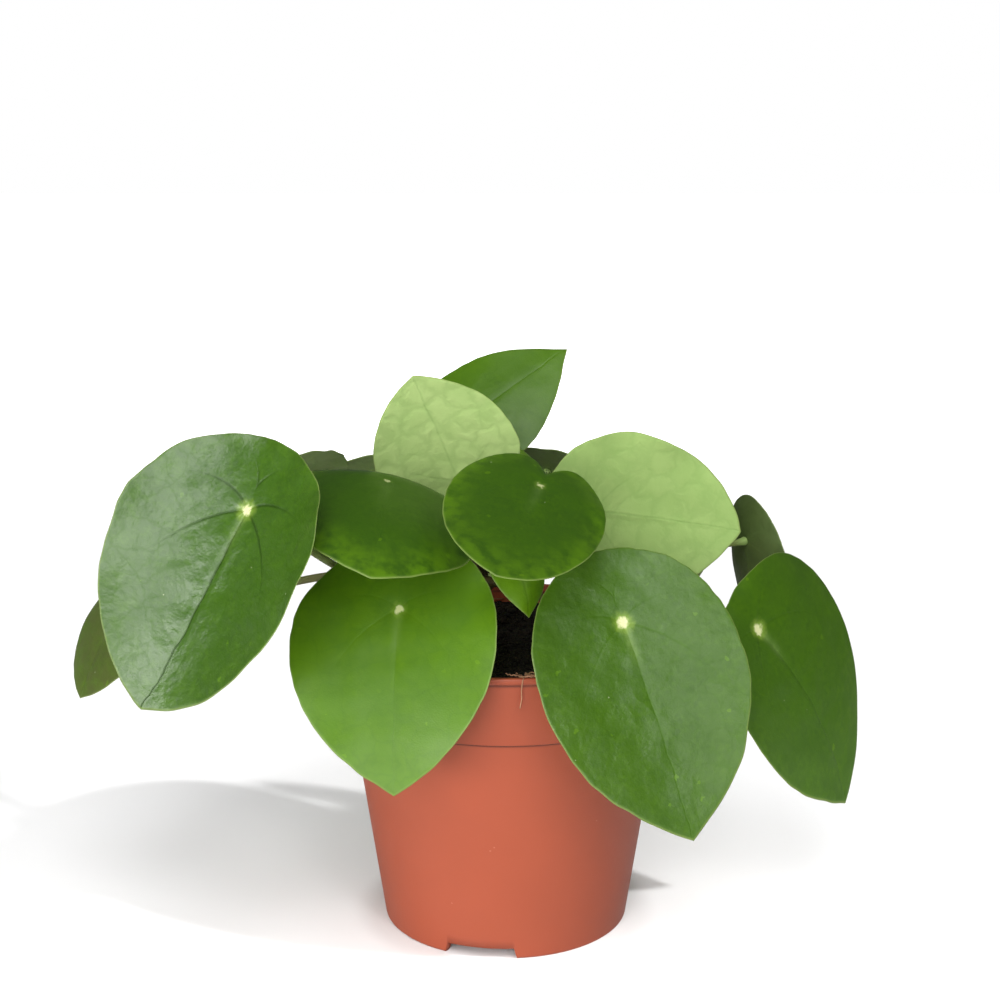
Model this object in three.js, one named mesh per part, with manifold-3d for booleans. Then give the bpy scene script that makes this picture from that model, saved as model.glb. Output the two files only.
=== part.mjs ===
// A pilea plant in a round terracotta-coloured nursery pot, in millimetres, +Z up.
//
// A short upright stem stands in dark soil. Each of its leaves is a round blade on a long thin
// petiole, which meets the blade from below at a pale hub set in from the edge, as on a shield.
// The shapes are worked out in the pot's own frame, with x to the right, y to the back and the
// pot's axis at x = y = 0. The whole plant is then moved so that the origin is the middle of the
// ground that it covers.

import * as THREE from 'three';
import { mergeVertices } from 'three/addons/utils/BufferGeometryUtils.js';
import Module from 'manifold-3d';

const wasm = await Module();
wasm.setup();

// Driving dimensions

const GAP = 0.3; // between pieces that touch
const POT_HEIGHT = 103;
const RIM_RADIUS = 60; // a 12 cm pot
const BASE_RADIUS = 42.3;
const WALL_TAPER = 0.1517; // radius gained for each mm of height
const COLLAR_BOTTOM = 79.3;
const COLLAR_STEP = 1.3;
const WALL = 1.3;
const FLOOR_BOTTOM = 5;
const FLOOR_TOP = 6.4;
const FOOT_INNER_RADIUS = 38.8;
const NOTCH_HEIGHT = 4;
const NOTCH_HALF_ANGLE = 17; // degrees
const NOTCH_MIDDLES = [-102, 18, 138]; // degrees from +X
const DRAIN_RADIUS = 4.5;
const DRAIN_CIRCLE = 26;
const DRAIN_COUNT = 6;
const SOIL_EDGE = 96.5;
const SOIL_CROWN = 98;
const STEM_FOOT = [-12.5, 6, 62];
const STEM_TOP = [-8.5, 9, 150];
const STEM_RADIUS = [5.2, 3.4];
const STEM_HOLE_RADIUS = 6.6;
const BLADE_THICK = 1.1;
const PLANT_SHIFT = [12.8, -12.9]; // from the pot's axis to the origin

// Materials

const finish = (color, roughness) => new THREE.MeshStandardMaterial({ color, roughness, metalness: 0 });
const TERRACOTTA = 0xc4694a;
const PEAT = 0x2b2019;
const BARK = 0x6f6a3d;
const LEAF_GREEN = 0x4f7d22;
const YOUNG_GREEN = 0x7fae3c;
const PETIOLE_GREEN = 0x8a9250;

// Solids with manifold-3d, for cuts only

function toSolid(geometry) {
  const bare = geometry.clone();
  bare.deleteAttribute('normal');
  bare.deleteAttribute('uv');
  const merged = mergeVertices(bare, 1e-4);
  return new wasm.Manifold(new wasm.Mesh({
    numProp: 3,
    vertProperties: new Float32Array(merged.attributes.position.array),
    triVerts: new Uint32Array(merged.index.array),
  }));
}

function toGeometry(solid) {
  const mesh = solid.getMesh();
  const geometry = new THREE.BufferGeometry();
  geometry.setAttribute('position', new THREE.BufferAttribute(mesh.vertProperties, 3));
  geometry.setIndex(new THREE.BufferAttribute(mesh.triVerts, 1));
  geometry.computeVertexNormals();
  return geometry;
}

// A turned body: points are [radius, height], and its axis is Z.
function turned(points, segments) {
  const profile = points.map(([r, z]) => new THREE.Vector2(r, z));
  return new THREE.LatheGeometry(profile, segments).rotateX(Math.PI / 2);
}

// Pot

const wallRadius = (z) => BASE_RADIUS + WALL_TAPER * z;

function potGeometry() {
  const collarFoot = wallRadius(COLLAR_BOTTOM) + COLLAR_STEP;
  const collarTop = collarFoot + WALL_TAPER * (POT_HEIGHT - 2.4 - COLLAR_BOTTOM);
  const profile = [
    [0, FLOOR_BOTTOM],
    [FOOT_INNER_RADIUS, FLOOR_BOTTOM],
    [FOOT_INNER_RADIUS + 0.4, 0],
    [BASE_RADIUS - 1.2, 0],
    [BASE_RADIUS - 0.2, 0.5],
    [wallRadius(1.6), 1.6],
    [wallRadius(COLLAR_BOTTOM - 0.3), COLLAR_BOTTOM - 0.3],
    [collarFoot - 0.4, COLLAR_BOTTOM],
    [collarFoot, COLLAR_BOTTOM + 0.5],
    [collarTop, POT_HEIGHT - 2.4],
    [RIM_RADIUS - 0.1, POT_HEIGHT - 1.8],
    [RIM_RADIUS, POT_HEIGHT - 0.5],
    [RIM_RADIUS - 0.5, POT_HEIGHT],
    [RIM_RADIUS - 2.1, POT_HEIGHT],
    [collarTop - WALL, POT_HEIGHT - 1.6],
    [collarFoot - WALL, COLLAR_BOTTOM + 1.6],
    [wallRadius(COLLAR_BOTTOM) - WALL, COLLAR_BOTTOM - 0.6],
    [wallRadius(FLOOR_TOP) - WALL, FLOOR_TOP],
    [0, FLOOR_TOP],
  ];
  let pot = toSolid(turned(profile, 60));
  // Three shallow notches in the foot ring let the water run out from under the floor.
  for (const middle of NOTCH_MIDDLES) {
    const reach = BASE_RADIUS + 4;
    const wide = Math.tan(THREE.MathUtils.degToRad(NOTCH_HALF_ANGLE)) * BASE_RADIUS;
    const section = new THREE.Shape([
      new THREE.Vector2(-wide, -2),
      new THREE.Vector2(wide, -2),
      new THREE.Vector2(wide * 0.9, NOTCH_HEIGHT),
      new THREE.Vector2(-wide * 0.9, NOTCH_HEIGHT),
    ]);
    const cutter = new THREE.ExtrudeGeometry(section, { depth: 16, bevelEnabled: false });
    cutter.rotateX(Math.PI / 2).translate(0, reach, 0);
    cutter.rotateZ(THREE.MathUtils.degToRad(middle - 90));
    pot = pot.subtract(toSolid(cutter));
  }
  for (let i = 0; i <= DRAIN_COUNT; i += 1) {
    const angle = (i / DRAIN_COUNT) * 2 * Math.PI;
    const out = i === DRAIN_COUNT ? 0 : DRAIN_CIRCLE;
    const drill = new THREE.CylinderGeometry(DRAIN_RADIUS, DRAIN_RADIUS, 6, 20).rotateX(Math.PI / 2);
    drill.translate(out * Math.cos(angle), out * Math.sin(angle), (FLOOR_BOTTOM + FLOOR_TOP) / 2);
    pot = pot.subtract(toSolid(drill));
  }
  return toGeometry(pot);
}

// Soil, filled to just under the rim, with a plain hole for the stem

function soilGeometry() {
  const inside = (z) => wallRadius(z) - WALL - GAP;
  const collarInside = wallRadius(COLLAR_BOTTOM) + COLLAR_STEP - WALL - GAP;
  const profile = [
    [0, FLOOR_TOP + GAP],
    [inside(FLOOR_TOP) - 0.1, FLOOR_TOP + GAP],
    [inside(COLLAR_BOTTOM - 0.6), COLLAR_BOTTOM - 0.4],
    [collarInside - 0.1, COLLAR_BOTTOM + 1.9],
    [collarInside + WALL_TAPER * (SOIL_EDGE - COLLAR_BOTTOM - 1.6) - 0.2, SOIL_EDGE],
    [40, SOIL_EDGE + 0.9],
    [0, SOIL_CROWN],
  ];
  const hole = new THREE.CylinderGeometry(STEM_HOLE_RADIUS, STEM_HOLE_RADIUS, 60, 24).rotateX(Math.PI / 2);
  hole.translate(STEM_FOOT[0] + 0.4, STEM_FOOT[1] + 0.2, STEM_FOOT[2] - GAP + 30);
  return toGeometry(toSolid(turned(profile, 48)).subtract(toSolid(hole)));
}

// Stem and petioles: tapered tubes along a curve, closed at both ends

function taperedTube(curve, r0, r1, sides, steps) {
  const frames = curve.computeFrenetFrames(steps, false);
  const positions = [];
  const index = [];
  for (let i = 0; i <= steps; i += 1) {
    const centre = curve.getPointAt(i / steps);
    const radius = r0 + (r1 - r0) * (i / steps);
    for (let j = 0; j < sides; j += 1) {
      const angle = (j / sides) * 2 * Math.PI;
      const point = centre.clone();
      point.addScaledVector(frames.normals[i], Math.cos(angle) * radius);
      point.addScaledVector(frames.binormals[i], Math.sin(angle) * radius);
      positions.push(point.x, point.y, point.z);
    }
  }
  for (let i = 0; i < steps; i += 1) {
    for (let j = 0; j < sides; j += 1) {
      const a = i * sides + j;
      const b = i * sides + ((j + 1) % sides);
      index.push(a, b, a + sides, b, b + sides, a + sides);
    }
  }
  const first = curve.getPointAt(0);
  const last = curve.getPointAt(1);
  const centres = (steps + 1) * sides;
  positions.push(first.x, first.y, first.z, last.x, last.y, last.z);
  for (let j = 0; j < sides; j += 1) {
    const next = (j + 1) % sides;
    index.push(centres, next, j);
    index.push(centres + 1, steps * sides + j, steps * sides + next);
  }
  const geometry = new THREE.BufferGeometry();
  geometry.setAttribute('position', new THREE.Float32BufferAttribute(positions, 3));
  geometry.setIndex(index);
  geometry.computeVertexNormals();
  return geometry;
}

const stemCurve = new THREE.CubicBezierCurve3(
  new THREE.Vector3(...STEM_FOOT),
  new THREE.Vector3(STEM_FOOT[0], STEM_FOOT[1], 92),
  new THREE.Vector3(-10, 8, 120),
  new THREE.Vector3(...STEM_TOP),
);

// The stem's centre and radius at a height.
function stemAt(height) {
  let low = 0;
  let high = 1;
  for (let i = 0; i < 40; i += 1) {
    const middle = (low + high) / 2;
    if (stemCurve.getPointAt(middle).z < height) low = middle;
    else high = middle;
  }
  const radius = STEM_RADIUS[0] + (STEM_RADIUS[1] - STEM_RADIUS[0]) * low;
  return { centre: stemCurve.getPointAt(low), radius };
}

// Leaf blades
//
// A blade has its own frame: the hub at the origin, x across it, y towards its apex and z out of
// its top face. Its outline is two cubic curves a side, from the base round the widest place to
// the pointed apex.

function halfOutline(leaf, count) {
  const { length, width, base, widest } = leaf;
  const half = width / 2;
  const yBase = -base * length;
  const ySide = (widest - base) * length;
  const yApex = (1 - base) * length;
  const rise = (1 - widest) * length;
  const apex = THREE.MathUtils.degToRad(leaf.apex);
  const lower = new THREE.CubicBezierCurve(
    new THREE.Vector2(0, yBase),
    new THREE.Vector2(0.6 * half, yBase),
    new THREE.Vector2(half, ySide - 0.5 * widest * length),
    new THREE.Vector2(half, ySide),
  );
  const upper = new THREE.CubicBezierCurve(
    new THREE.Vector2(half, ySide),
    new THREE.Vector2(half, ySide + 0.5 * rise),
    new THREE.Vector2(0.4 * rise * Math.sin(apex), yApex - 0.4 * rise * Math.cos(apex)),
    new THREE.Vector2(0, yApex),
  );
  return [...lower.getPoints(count), ...upper.getPoints(count).slice(1)];
}

function outline(leaf, count) {
  const right = halfOutline(leaf, count);
  const left = right.slice(1, -1).reverse();
  const lean = leaf.lean ?? 0;
  const points = [
    ...right.map((p) => new THREE.Vector2(p.x * (1 + lean), p.y)),
    ...left.map((p) => new THREE.Vector2(-p.x * (1 - lean), p.y)),
  ];
  return points.map((p) => {
    // A notch runs in from the base towards the hub, where the leaf has one.
    const angle = Math.atan2(p.x, -p.y);
    const keep = 1 - (leaf.notch ?? 0) * Math.exp(-((angle / 0.35) ** 2));
    const x = p.x * keep;
    const y = p.y * keep;
    return new THREE.Vector2(x + (leaf.sweep ?? 0) * (y / ((1 - leaf.base) * leaf.length)) ** 2, y);
  });
}

// The blade's height over its own plane: bent across, and drooping to the apex and to the base.
function heightAt(leaf, x, y) {
  const across = x / (leaf.width / 2);
  const along = y > 0 ? y / ((1 - leaf.base) * leaf.length) : y / (leaf.base * leaf.length);
  const drop = y > 0 ? leaf.droop : leaf.dropBack;
  return -leaf.cup * across ** 2 - drop * along ** 2;
}

function bladeGeometry(leaf) {
  const rim = outline(leaf, leaf.length > 30 ? 7 : 5);
  const rings = leaf.length > 30 ? [0.34, 0.68, 1] : [0.5, 1];
  const around = rim.length;
  const positions = [];
  const index = [];
  const thick = leaf.thick ?? BLADE_THICK;
  for (const side of [1, -1]) {
    positions.push(0, 0, (side * thick) / 2);
    for (const ring of rings) {
      for (const p of rim) {
        const x = p.x * ring;
        const y = p.y * ring;
        positions.push(x, y, heightAt(leaf, x, y) + (side * thick) / 2);
      }
    }
  }
  // Both faces are split into the same triangles, so they never cross.
  const face = 1 + around * rings.length;
  const add = (a, b, c) => {
    index.push(a, b, c);
    index.push(face + a, face + c, face + b);
  };
  for (let j = 0; j < around; j += 1) {
    const next = (j + 1) % around;
    add(0, 1 + j, 1 + next);
    for (let i = 0; i + 1 < rings.length; i += 1) {
      const inner = 1 + i * around;
      const outer = inner + around;
      add(inner + j, outer + j, outer + next);
      add(inner + j, outer + next, inner + next);
    }
    const last = 1 + (rings.length - 1) * around;
    index.push(last + j, face + last + j, face + last + next);
    index.push(last + j, face + last + next, last + next);
  }
  const geometry = new THREE.BufferGeometry();
  geometry.setAttribute('position', new THREE.Float32BufferAttribute(positions, 3));
  geometry.setIndex(index);
  geometry.computeVertexNormals();
  return geometry;
}

// The way a blade faces: an azimuth from the front (90 is to the right), a tilt from upright
// towards lying flat, and a roll of its apex from straight downhill.
function bladeAxes(leaf) {
  const [a, e, c] = [leaf.face, leaf.tilt, leaf.roll].map(THREE.MathUtils.degToRad);
  const normal = new THREE.Vector3(Math.sin(a) * Math.cos(e), -Math.cos(a) * Math.cos(e), Math.sin(e));
  const downhill = new THREE.Vector3(Math.sin(a) * Math.sin(e), -Math.cos(a) * Math.sin(e), -Math.cos(e));
  const level = new THREE.Vector3(Math.cos(a), Math.sin(a), 0);
  const apex = downhill.multiplyScalar(Math.cos(c)).addScaledVector(level, Math.sin(c));
  return { across: new THREE.Vector3().crossVectors(apex, normal), apex, normal };
}

// A petiole leaves the stem at its node, and meets the blade square on, under the hub.
function petioleGeometry(leaf, normal) {
  const hub = new THREE.Vector3(...leaf.hub);
  const { centre, radius } = stemAt(leaf.node);
  const turn = THREE.MathUtils.degToRad(leaf.turn ?? 0);
  const azimuth = Math.atan2(hub.y - centre.y, hub.x - centre.x) + turn;
  const rise = THREE.MathUtils.degToRad(leaf.rise);
  const rootRadius = leaf.rootRadius ?? 1.7;
  const endRadius = leaf.endRadius ?? 1.2;
  const bow = new THREE.Vector3(...(leaf.bow ?? [0, 0, 0]));
  const flat = new THREE.Vector3(Math.cos(azimuth), Math.sin(azimuth), 0);
  const leaving = flat.clone().multiplyScalar(Math.cos(rise)).setZ(Math.sin(rise));
  const start = centre.clone().addScaledVector(flat, radius + GAP + rootRadius * Math.abs(Math.sin(rise)));
  const end = hub.clone().addScaledVector(normal, -(leaf.thick ?? BLADE_THICK) / 2 - GAP);
  const curve = new THREE.CubicBezierCurve3(
    start,
    start.clone().addScaledVector(leaving, leaf.leave).add(bow),
    end.clone().addScaledVector(normal, -leaf.arrive).add(bow),
    end,
  );
  const long = leaf.length > 30;
  return taperedTube(curve, rootRadius, endRadius, long ? 8 : 6, long ? 10 : 7);
}

// The leaves, from the front round to the back, and two young ones at the tip

const LEAVES = {
  '01': { hub: [-80, -56, 156], face: -29.5, tilt: 25, roll: -15, length: 93.5, width: 75,
    base: 0.25, widest: 0.38, apex: 73, cup: -10.5, droop: 6, dropBack: 2, lean: 0.02, sweep: 7.5,
    node: 109, leave: 38, arrive: 34, rise: 14, bow: [0, 3, -4] },
  '02': { hub: [-34, -47, 122], face: -21, tilt: 31, roll: 8, length: 83, width: 70,
    base: 0.3, widest: 0.43, apex: 62, cup: -2, droop: 7, dropBack: 2, lean: 0.03,
    node: 102, leave: 18, arrive: 18, rise: 20 },
  '03': { hub: [-38, -35, 161], face: 43, tilt: 70.5, roll: -42, length: 66, width: 64,
    base: 0.24, widest: 0.41, apex: 79, cup: 9, droop: 7.5, dropBack: 7,
    node: 132.5, leave: 16, arrive: 16, rise: 6 },
  '04': { hub: [-16.1, -5.7, 155.8], face: 188, tilt: 21, roll: 158.5, length: 54, width: 48.5,
    base: 0.16, widest: 0.35, apex: 65, cup: 4, droop: 4.5, dropBack: 2,
    node: 140.5, leave: 12, arrive: 12, rise: -12, turn: -12, rootRadius: 1.3, endRadius: 1 },
  '05': { hub: [-18, 30, 166], face: -13.5, tilt: 34.5, roll: 135.5, length: 69, width: 44.5,
    base: 0.27, widest: 0.34, apex: 41, cup: 3.5, droop: 4, dropBack: 2,
    node: 139, leave: 16, arrive: 12, rise: 25, turn: 5, rootRadius: 1.4, endRadius: 1 },
  '06': { hub: [10.5, -48, 162], face: 29, tilt: 61.5, roll: -42.5, length: 68.5, width: 50,
    base: 0.26, widest: 0.41, apex: 75, cup: 3, droop: -1, dropBack: 2, lean: 0.04, notch: 0.5,
    node: 136, leave: 22, arrive: 18, rise: 25 },
  '07': { hub: [29.5, -12, 146.5], face: 184, tilt: 11.5, roll: -83, length: 68, width: 60.5,
    base: 0.28, widest: 0.39, apex: 69, cup: 4, droop: 6, dropBack: 2,
    node: 125, leave: 24, arrive: 20, rise: 20, turn: -48 },
  '08': { hub: [36.5, -54, 119.5], face: 14, tilt: 28, roll: 12.5, length: 95, width: 69,
    base: 0.26, widest: 0.41, apex: 58, cup: -1, droop: 6, dropBack: 2, lean: -0.02,
    node: 118, leave: 30, arrive: 20, rise: 10 },
  '09': { hub: [84, -18, 106.5], face: 39, tilt: 20.5, roll: 41, length: 83.5, width: 73,
    base: 0.17, widest: 0.41, apex: 61, cup: 7, droop: 7, dropBack: 2, lean: -0.24, sweep: 19.5,
    node: 122, leave: 45, arrive: 20, rise: 6 },
  '10': { hub: [86, 28, 126.8], face: 125, tilt: 4.5, roll: -6, length: 54, width: 30.5,
    base: 0.3, widest: 0.6, apex: 62, cup: -5.5, droop: -3, dropBack: -2,
    node: 128, leave: 38, arrive: 22, rise: 8, turn: -6, rootRadius: 1.6, endRadius: 1.1 },
  '11': { hub: [-129.5, -4, 113], face: -52, tilt: 39.5, roll: 1.5, length: 49.5, width: 46,
    base: 0.28, widest: 0.43, apex: 70, cup: 3, droop: 5, dropBack: 2,
    node: 113, leave: 55, arrive: 30, rise: 26 },
  '12': { hub: [-74, 29, 150], face: -132, tilt: 45, roll: 20, length: 60, width: 55,
    base: 0.28, widest: 0.42, apex: 62, cup: 2, droop: 6, dropBack: 2,
    node: 128, leave: 30, arrive: 18, rise: 25 },
  '13': { hub: [-46, 57, 146], face: -168, tilt: 46, roll: 4, length: 52, width: 46,
    base: 0.28, widest: 0.42, apex: 62, cup: 2, droop: 6, dropBack: 2,
    node: 133, leave: 22, arrive: 16, rise: 25 },
  '14': { hub: [15, 42, 150], face: 166.5, tilt: 44, roll: 4.5, length: 54, width: 50,
    base: 0.28, widest: 0.42, apex: 62, cup: 2, droop: 6, dropBack: 2,
    node: 141, leave: 18, arrive: 14, rise: 25 },
  '15': { hub: [2.5, -41, 139], face: 34, tilt: 43, roll: -3, length: 29.5, width: 20,
    base: 0.3, widest: 0.42, apex: 45, cup: 2, droop: 6, dropBack: 2,
    node: 131, leave: 18, arrive: 10, rise: 25, rootRadius: 1.2, endRadius: 0.9 },
  '16': { hub: [42, 80, 116], face: 160, tilt: 34, roll: 4, length: 66, width: 58,
    base: 0.28, widest: 0.42, apex: 60, cup: 2, droop: 7, dropBack: 2,
    node: 113, leave: 30, arrive: 20, rise: 20 },
  '17': { hub: [-100, 60, 122], face: -125, tilt: 32, roll: -5, length: 70, width: 60,
    base: 0.28, widest: 0.42, apex: 60, cup: -2, droop: 8, dropBack: 2,
    node: 119, leave: 35, arrive: 22, rise: 25 },
  '18': { hub: [-30, 97, 106], face: -172, tilt: 36, roll: 4, length: 68, width: 60,
    base: 0.28, widest: 0.42, apex: 60, cup: 3, droop: 7, dropBack: 2,
    node: 112, leave: 30, arrive: 20, rise: 25 },
  '19': { hub: [52, 42, 138], face: 125, tilt: 42, roll: -12, length: 48, width: 42,
    base: 0.27, widest: 0.42, apex: 64, cup: 4, droop: 6, dropBack: 2,
    node: 135, leave: 25, arrive: 14, rise: 25 },
  '20': { hub: [-13, 8, 172], face: 150, tilt: 40, roll: 160, length: 20, width: 14,
    base: 0.28, widest: 0.4, apex: 48, cup: 2, droop: 2, dropBack: 2, thick: 0.8,
    node: 146, leave: 6, arrive: 8, rise: 55, rootRadius: 0.9, endRadius: 0.8 },
  '21': { hub: [1, 3, 165], face: 60, tilt: 50, roll: 30, length: 22, width: 16,
    base: 0.28, widest: 0.4, apex: 50, cup: 2, droop: 2, dropBack: 2, thick: 0.8,
    node: 144, leave: 8, arrive: 8, rise: 55, rootRadius: 0.9, endRadius: 0.8 },
};

// Assembly

const plant = new THREE.Group();
plant.position.set(PLANT_SHIFT[0], PLANT_SHIFT[1], 0);

function addMesh(parent, name, geometry, material) {
  const mesh = new THREE.Mesh(geometry, material);
  mesh.name = name;
  parent.add(mesh);
  return mesh;
}

addMesh(plant, 'pot', potGeometry(), finish(TERRACOTTA, 0.5));
addMesh(plant, 'soil', soilGeometry(), finish(PEAT, 0.95));
addMesh(plant, 'stem', taperedTube(stemCurve, STEM_RADIUS[0], STEM_RADIUS[1], 14, 16), finish(BARK, 0.8));

const foliage = new THREE.Group();
plant.add(foliage);
for (const [name, leaf] of Object.entries(LEAVES)) {
  const { across, apex, normal } = bladeAxes(leaf);
  const green = leaf.length > 30 ? LEAF_GREEN : YOUNG_GREEN;
  const blade = addMesh(foliage, `blade_${name}`, bladeGeometry(leaf), finish(green, 0.45));
  blade.position.set(...leaf.hub);
  blade.quaternion.setFromRotationMatrix(new THREE.Matrix4().makeBasis(across, apex, normal));
  addMesh(foliage, `petiole_${name}`, petioleGeometry(leaf, normal), finish(PETIOLE_GREEN, 0.5));
}

const root = new THREE.Group();
root.name = 'potted_pilea';
root.add(plant);

export default root;
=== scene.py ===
# %% [markdown]
# # A potted pilea plant
#
# A young pilea in a round terracotta-coloured nursery pot. Each leaf is a blade on a long petiole,
# and each petiole meets its blade from below at a pale hub, so the leaf stands like a small shield.
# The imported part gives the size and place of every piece. This lesson rebuilds each of them as a
# finer surface, gives it a finish worked out from nodes, and sets up a plain studio round it.

# %% Load the frame
import math

import bpy
import numpy as np
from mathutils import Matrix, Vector


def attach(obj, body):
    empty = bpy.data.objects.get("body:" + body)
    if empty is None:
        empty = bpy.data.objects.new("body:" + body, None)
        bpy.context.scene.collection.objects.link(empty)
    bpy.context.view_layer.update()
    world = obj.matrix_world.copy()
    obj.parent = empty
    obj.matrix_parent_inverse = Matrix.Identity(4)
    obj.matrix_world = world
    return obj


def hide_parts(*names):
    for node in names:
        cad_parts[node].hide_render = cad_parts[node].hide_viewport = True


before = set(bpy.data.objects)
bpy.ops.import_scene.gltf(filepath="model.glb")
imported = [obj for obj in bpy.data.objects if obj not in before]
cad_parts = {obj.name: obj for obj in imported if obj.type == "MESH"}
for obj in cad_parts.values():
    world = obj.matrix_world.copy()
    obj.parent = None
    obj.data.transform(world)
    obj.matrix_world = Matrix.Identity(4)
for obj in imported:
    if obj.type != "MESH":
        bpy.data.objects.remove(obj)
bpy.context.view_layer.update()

# %% [markdown]
# ## The camera
#
# A camera can be set by eye, or worked out from things of known shape. The pot's rim, collar step
# and base are circles of known size, so the way they flatten to ovals gives the height, the tilt
# and the distance. All sizes below are in millimetres, in the pot's own frame, with the pot's axis
# at x = y = 0, and PLANT_SHIFT carries them to the part's frame.

# %% Camera
MM = 0.001
PLANT_SHIFT = np.array([12.8, -12.9, 0.0])
CAMERA_PLACE = np.array([-2.05, -600.0, 274.6])
CAMERA_PITCH = 11.97  # degrees below level
FOCAL_PIXELS = 1809
IMAGE_WIDTH = 1000
SENSOR_WIDTH = 36


def to_part(points):
    """Millimetres in the pot's frame become metres in the part's: add the shift, then scale."""
    return (np.asarray(points, float) + PLANT_SHIFT) * MM


def direction(azimuth, height):
    """A unit arrow: azimuth in degrees from the front to the right, height above level."""
    a, e = math.radians(azimuth), math.radians(height)
    return np.array([math.sin(a) * math.cos(e), -math.cos(a) * math.cos(e), math.sin(e)])


def place_object(name, data):
    """A new object in the scene; it stands at the origin, unturned."""
    item = bpy.data.objects.new(name, data)
    bpy.context.scene.collection.objects.link(item)
    return item


camera_data = bpy.data.cameras.new("camera")
camera_data.sensor_width = SENSOR_WIDTH
camera_data.lens = FOCAL_PIXELS * SENSOR_WIDTH / IMAGE_WIDTH
camera_data.clip_start = 0.01
camera_data.clip_end = 50
camera = place_object("camera", camera_data)
camera.location = to_part(CAMERA_PLACE)
camera.rotation_euler = (math.radians(90 - CAMERA_PITCH), 0, 0)
bpy.context.scene.camera = camera
print("lens", round(camera_data.lens, 1), "mm")

# %% [markdown]
# ## Closed skins
#
# A pot, a stem, a petiole and a leaf look very different, yet each is one closed skin: a stack of
# rings between two poles. They could be joined from separate sheets, but then seams open at the
# edges. One stack of rings has no seam, so the same few lines make the faces of every piece.

# %% Skin helpers
def skin_faces(rows, columns):
    """Faces of a closed skin of rows x columns points between two poles.

    Point 0 is the first pole, then come the rings, then the last pole. A face joins each point to
    its right neighbour and to the two above them, and a fan closes each end.
    """
    column = np.arange(columns)
    right = (column + 1) % columns
    start = 1 + columns * np.arange(rows - 1)[:, None]
    quads = np.stack([start + column, start + right, start + columns + right, start + columns + column], -1)
    last_ring = 1 + (rows - 1) * columns
    last_pole = last_ring + columns
    first_fan = np.stack([np.zeros(columns, int), 1 + right, 1 + column], -1)
    last_fan = np.stack([last_ring + column, last_ring + right, np.full(columns, last_pole)], -1)
    return [first_fan, quads.reshape(-1, 4), last_fan]


def make_piece(name, points, faces, node=None, attributes=None):
    """A mesh object from points in mm and a list of face arrays, all triangles or all quads each."""
    mesh = bpy.data.meshes.new(name)
    points = to_part(points)
    corners = np.concatenate([f.ravel() for f in faces])
    sizes = np.concatenate([np.full(len(f), f.shape[1]) for f in faces])
    mesh.vertices.add(len(points))
    mesh.vertices.foreach_set("co", points.astype(np.float32).ravel())
    mesh.loops.add(len(corners))
    mesh.loops.foreach_set("vertex_index", corners.astype(np.int32))
    mesh.polygons.add(len(sizes))
    mesh.polygons.foreach_set("loop_start", np.concatenate([[0], np.cumsum(sizes)[:-1]]).astype(np.int32))
    mesh.polygons.foreach_set("use_smooth", np.ones(len(sizes), bool))
    for label, values in (attributes or {}).items():
        values = np.asarray(values, np.float32)
        kind, field = ("FLOAT", "value") if values.ndim == 1 else ("FLOAT_VECTOR", "vector")
        mesh.attributes.new(label, kind, "POINT").data.foreach_set(field, values.ravel())
    mesh.update(calc_edges=True)
    mesh.validate()
    piece = place_object(name, mesh)
    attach(piece, "root")
    if node:
        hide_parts(node)
    return piece


def polar(radius, angle, height):
    """Points at a radius and an angle round the z axis, from numbers or arrays of them."""
    return np.stack(np.broadcast_arrays(radius * np.cos(angle), radius * np.sin(angle), height), -1)


def round_angles(count):
    """Angles in radians that part a circle into even steps, from 0."""
    return np.linspace(0, 2 * math.pi, count, endpoint=False)


def bell(value, width):
    """exp(-(value / width)^2): 1 at 0, and soft to 0 on both sides."""
    return np.exp(-((value / width) ** 2))


def triangle_count(piece):
    """Triangles in a piece: each face with n corners makes n - 2."""
    totals = np.empty(len(piece.data.polygons), np.int32)
    piece.data.polygons.foreach_get("loop_total", totals)
    return int((totals - 2).sum())


print("a ring stack of 3 x 8 points has", sum(len(f) for f in skin_faces(3, 8)), "faces")

# %% [markdown]
# ## The leaves' measures
#
# Every leaf is the same drawing with other numbers: where its hub is, the way it faces, its length
# and width, how far it is cupped and drooped, and where its petiole leaves the stem. A table of
# these keeps the part's own solid and the fine surface in step, because both use the same formulas.

# %% Leaf measures
# hub: place in mm. face: azimuth from the front in degrees. tilt: from upright towards flat.
# roll: of the apex from straight downhill. base and widest: shares of the length from the base.
# apex: half the angle at the point. cup, droop and back: depths in mm across, to the apex and to the base.
# node: height on the stem in mm. leave, arrive and rise: the petiole's arch there, and its slope.
# tone: 0 for an old dark blade to 1 for a fresh one. relief: how much its bulges stand out, and its
# veins too where crease, their own depth, isn't given.
# age and shade: 0 to 1 for an old olive blade on top, and for painted shade that darkens the
# underside. spot: how clearly the pale hub shows. detail: 1 for a full mesh.
COLUMNS = ("hub", "face", "tilt", "roll", "length", "width", "base", "widest", "apex", "cup", "droop",
           "node", "leave", "arrive", "rise", "tone")
DEFAULTS = dict(back=2, lean=0, sweep=0, notch=0, thick=1.1, turn=0, bow=(0, 0, 0), root=1.7, tip=1.2,
                detail=1, relief=0.5, age=0, spot=0.9)
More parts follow.
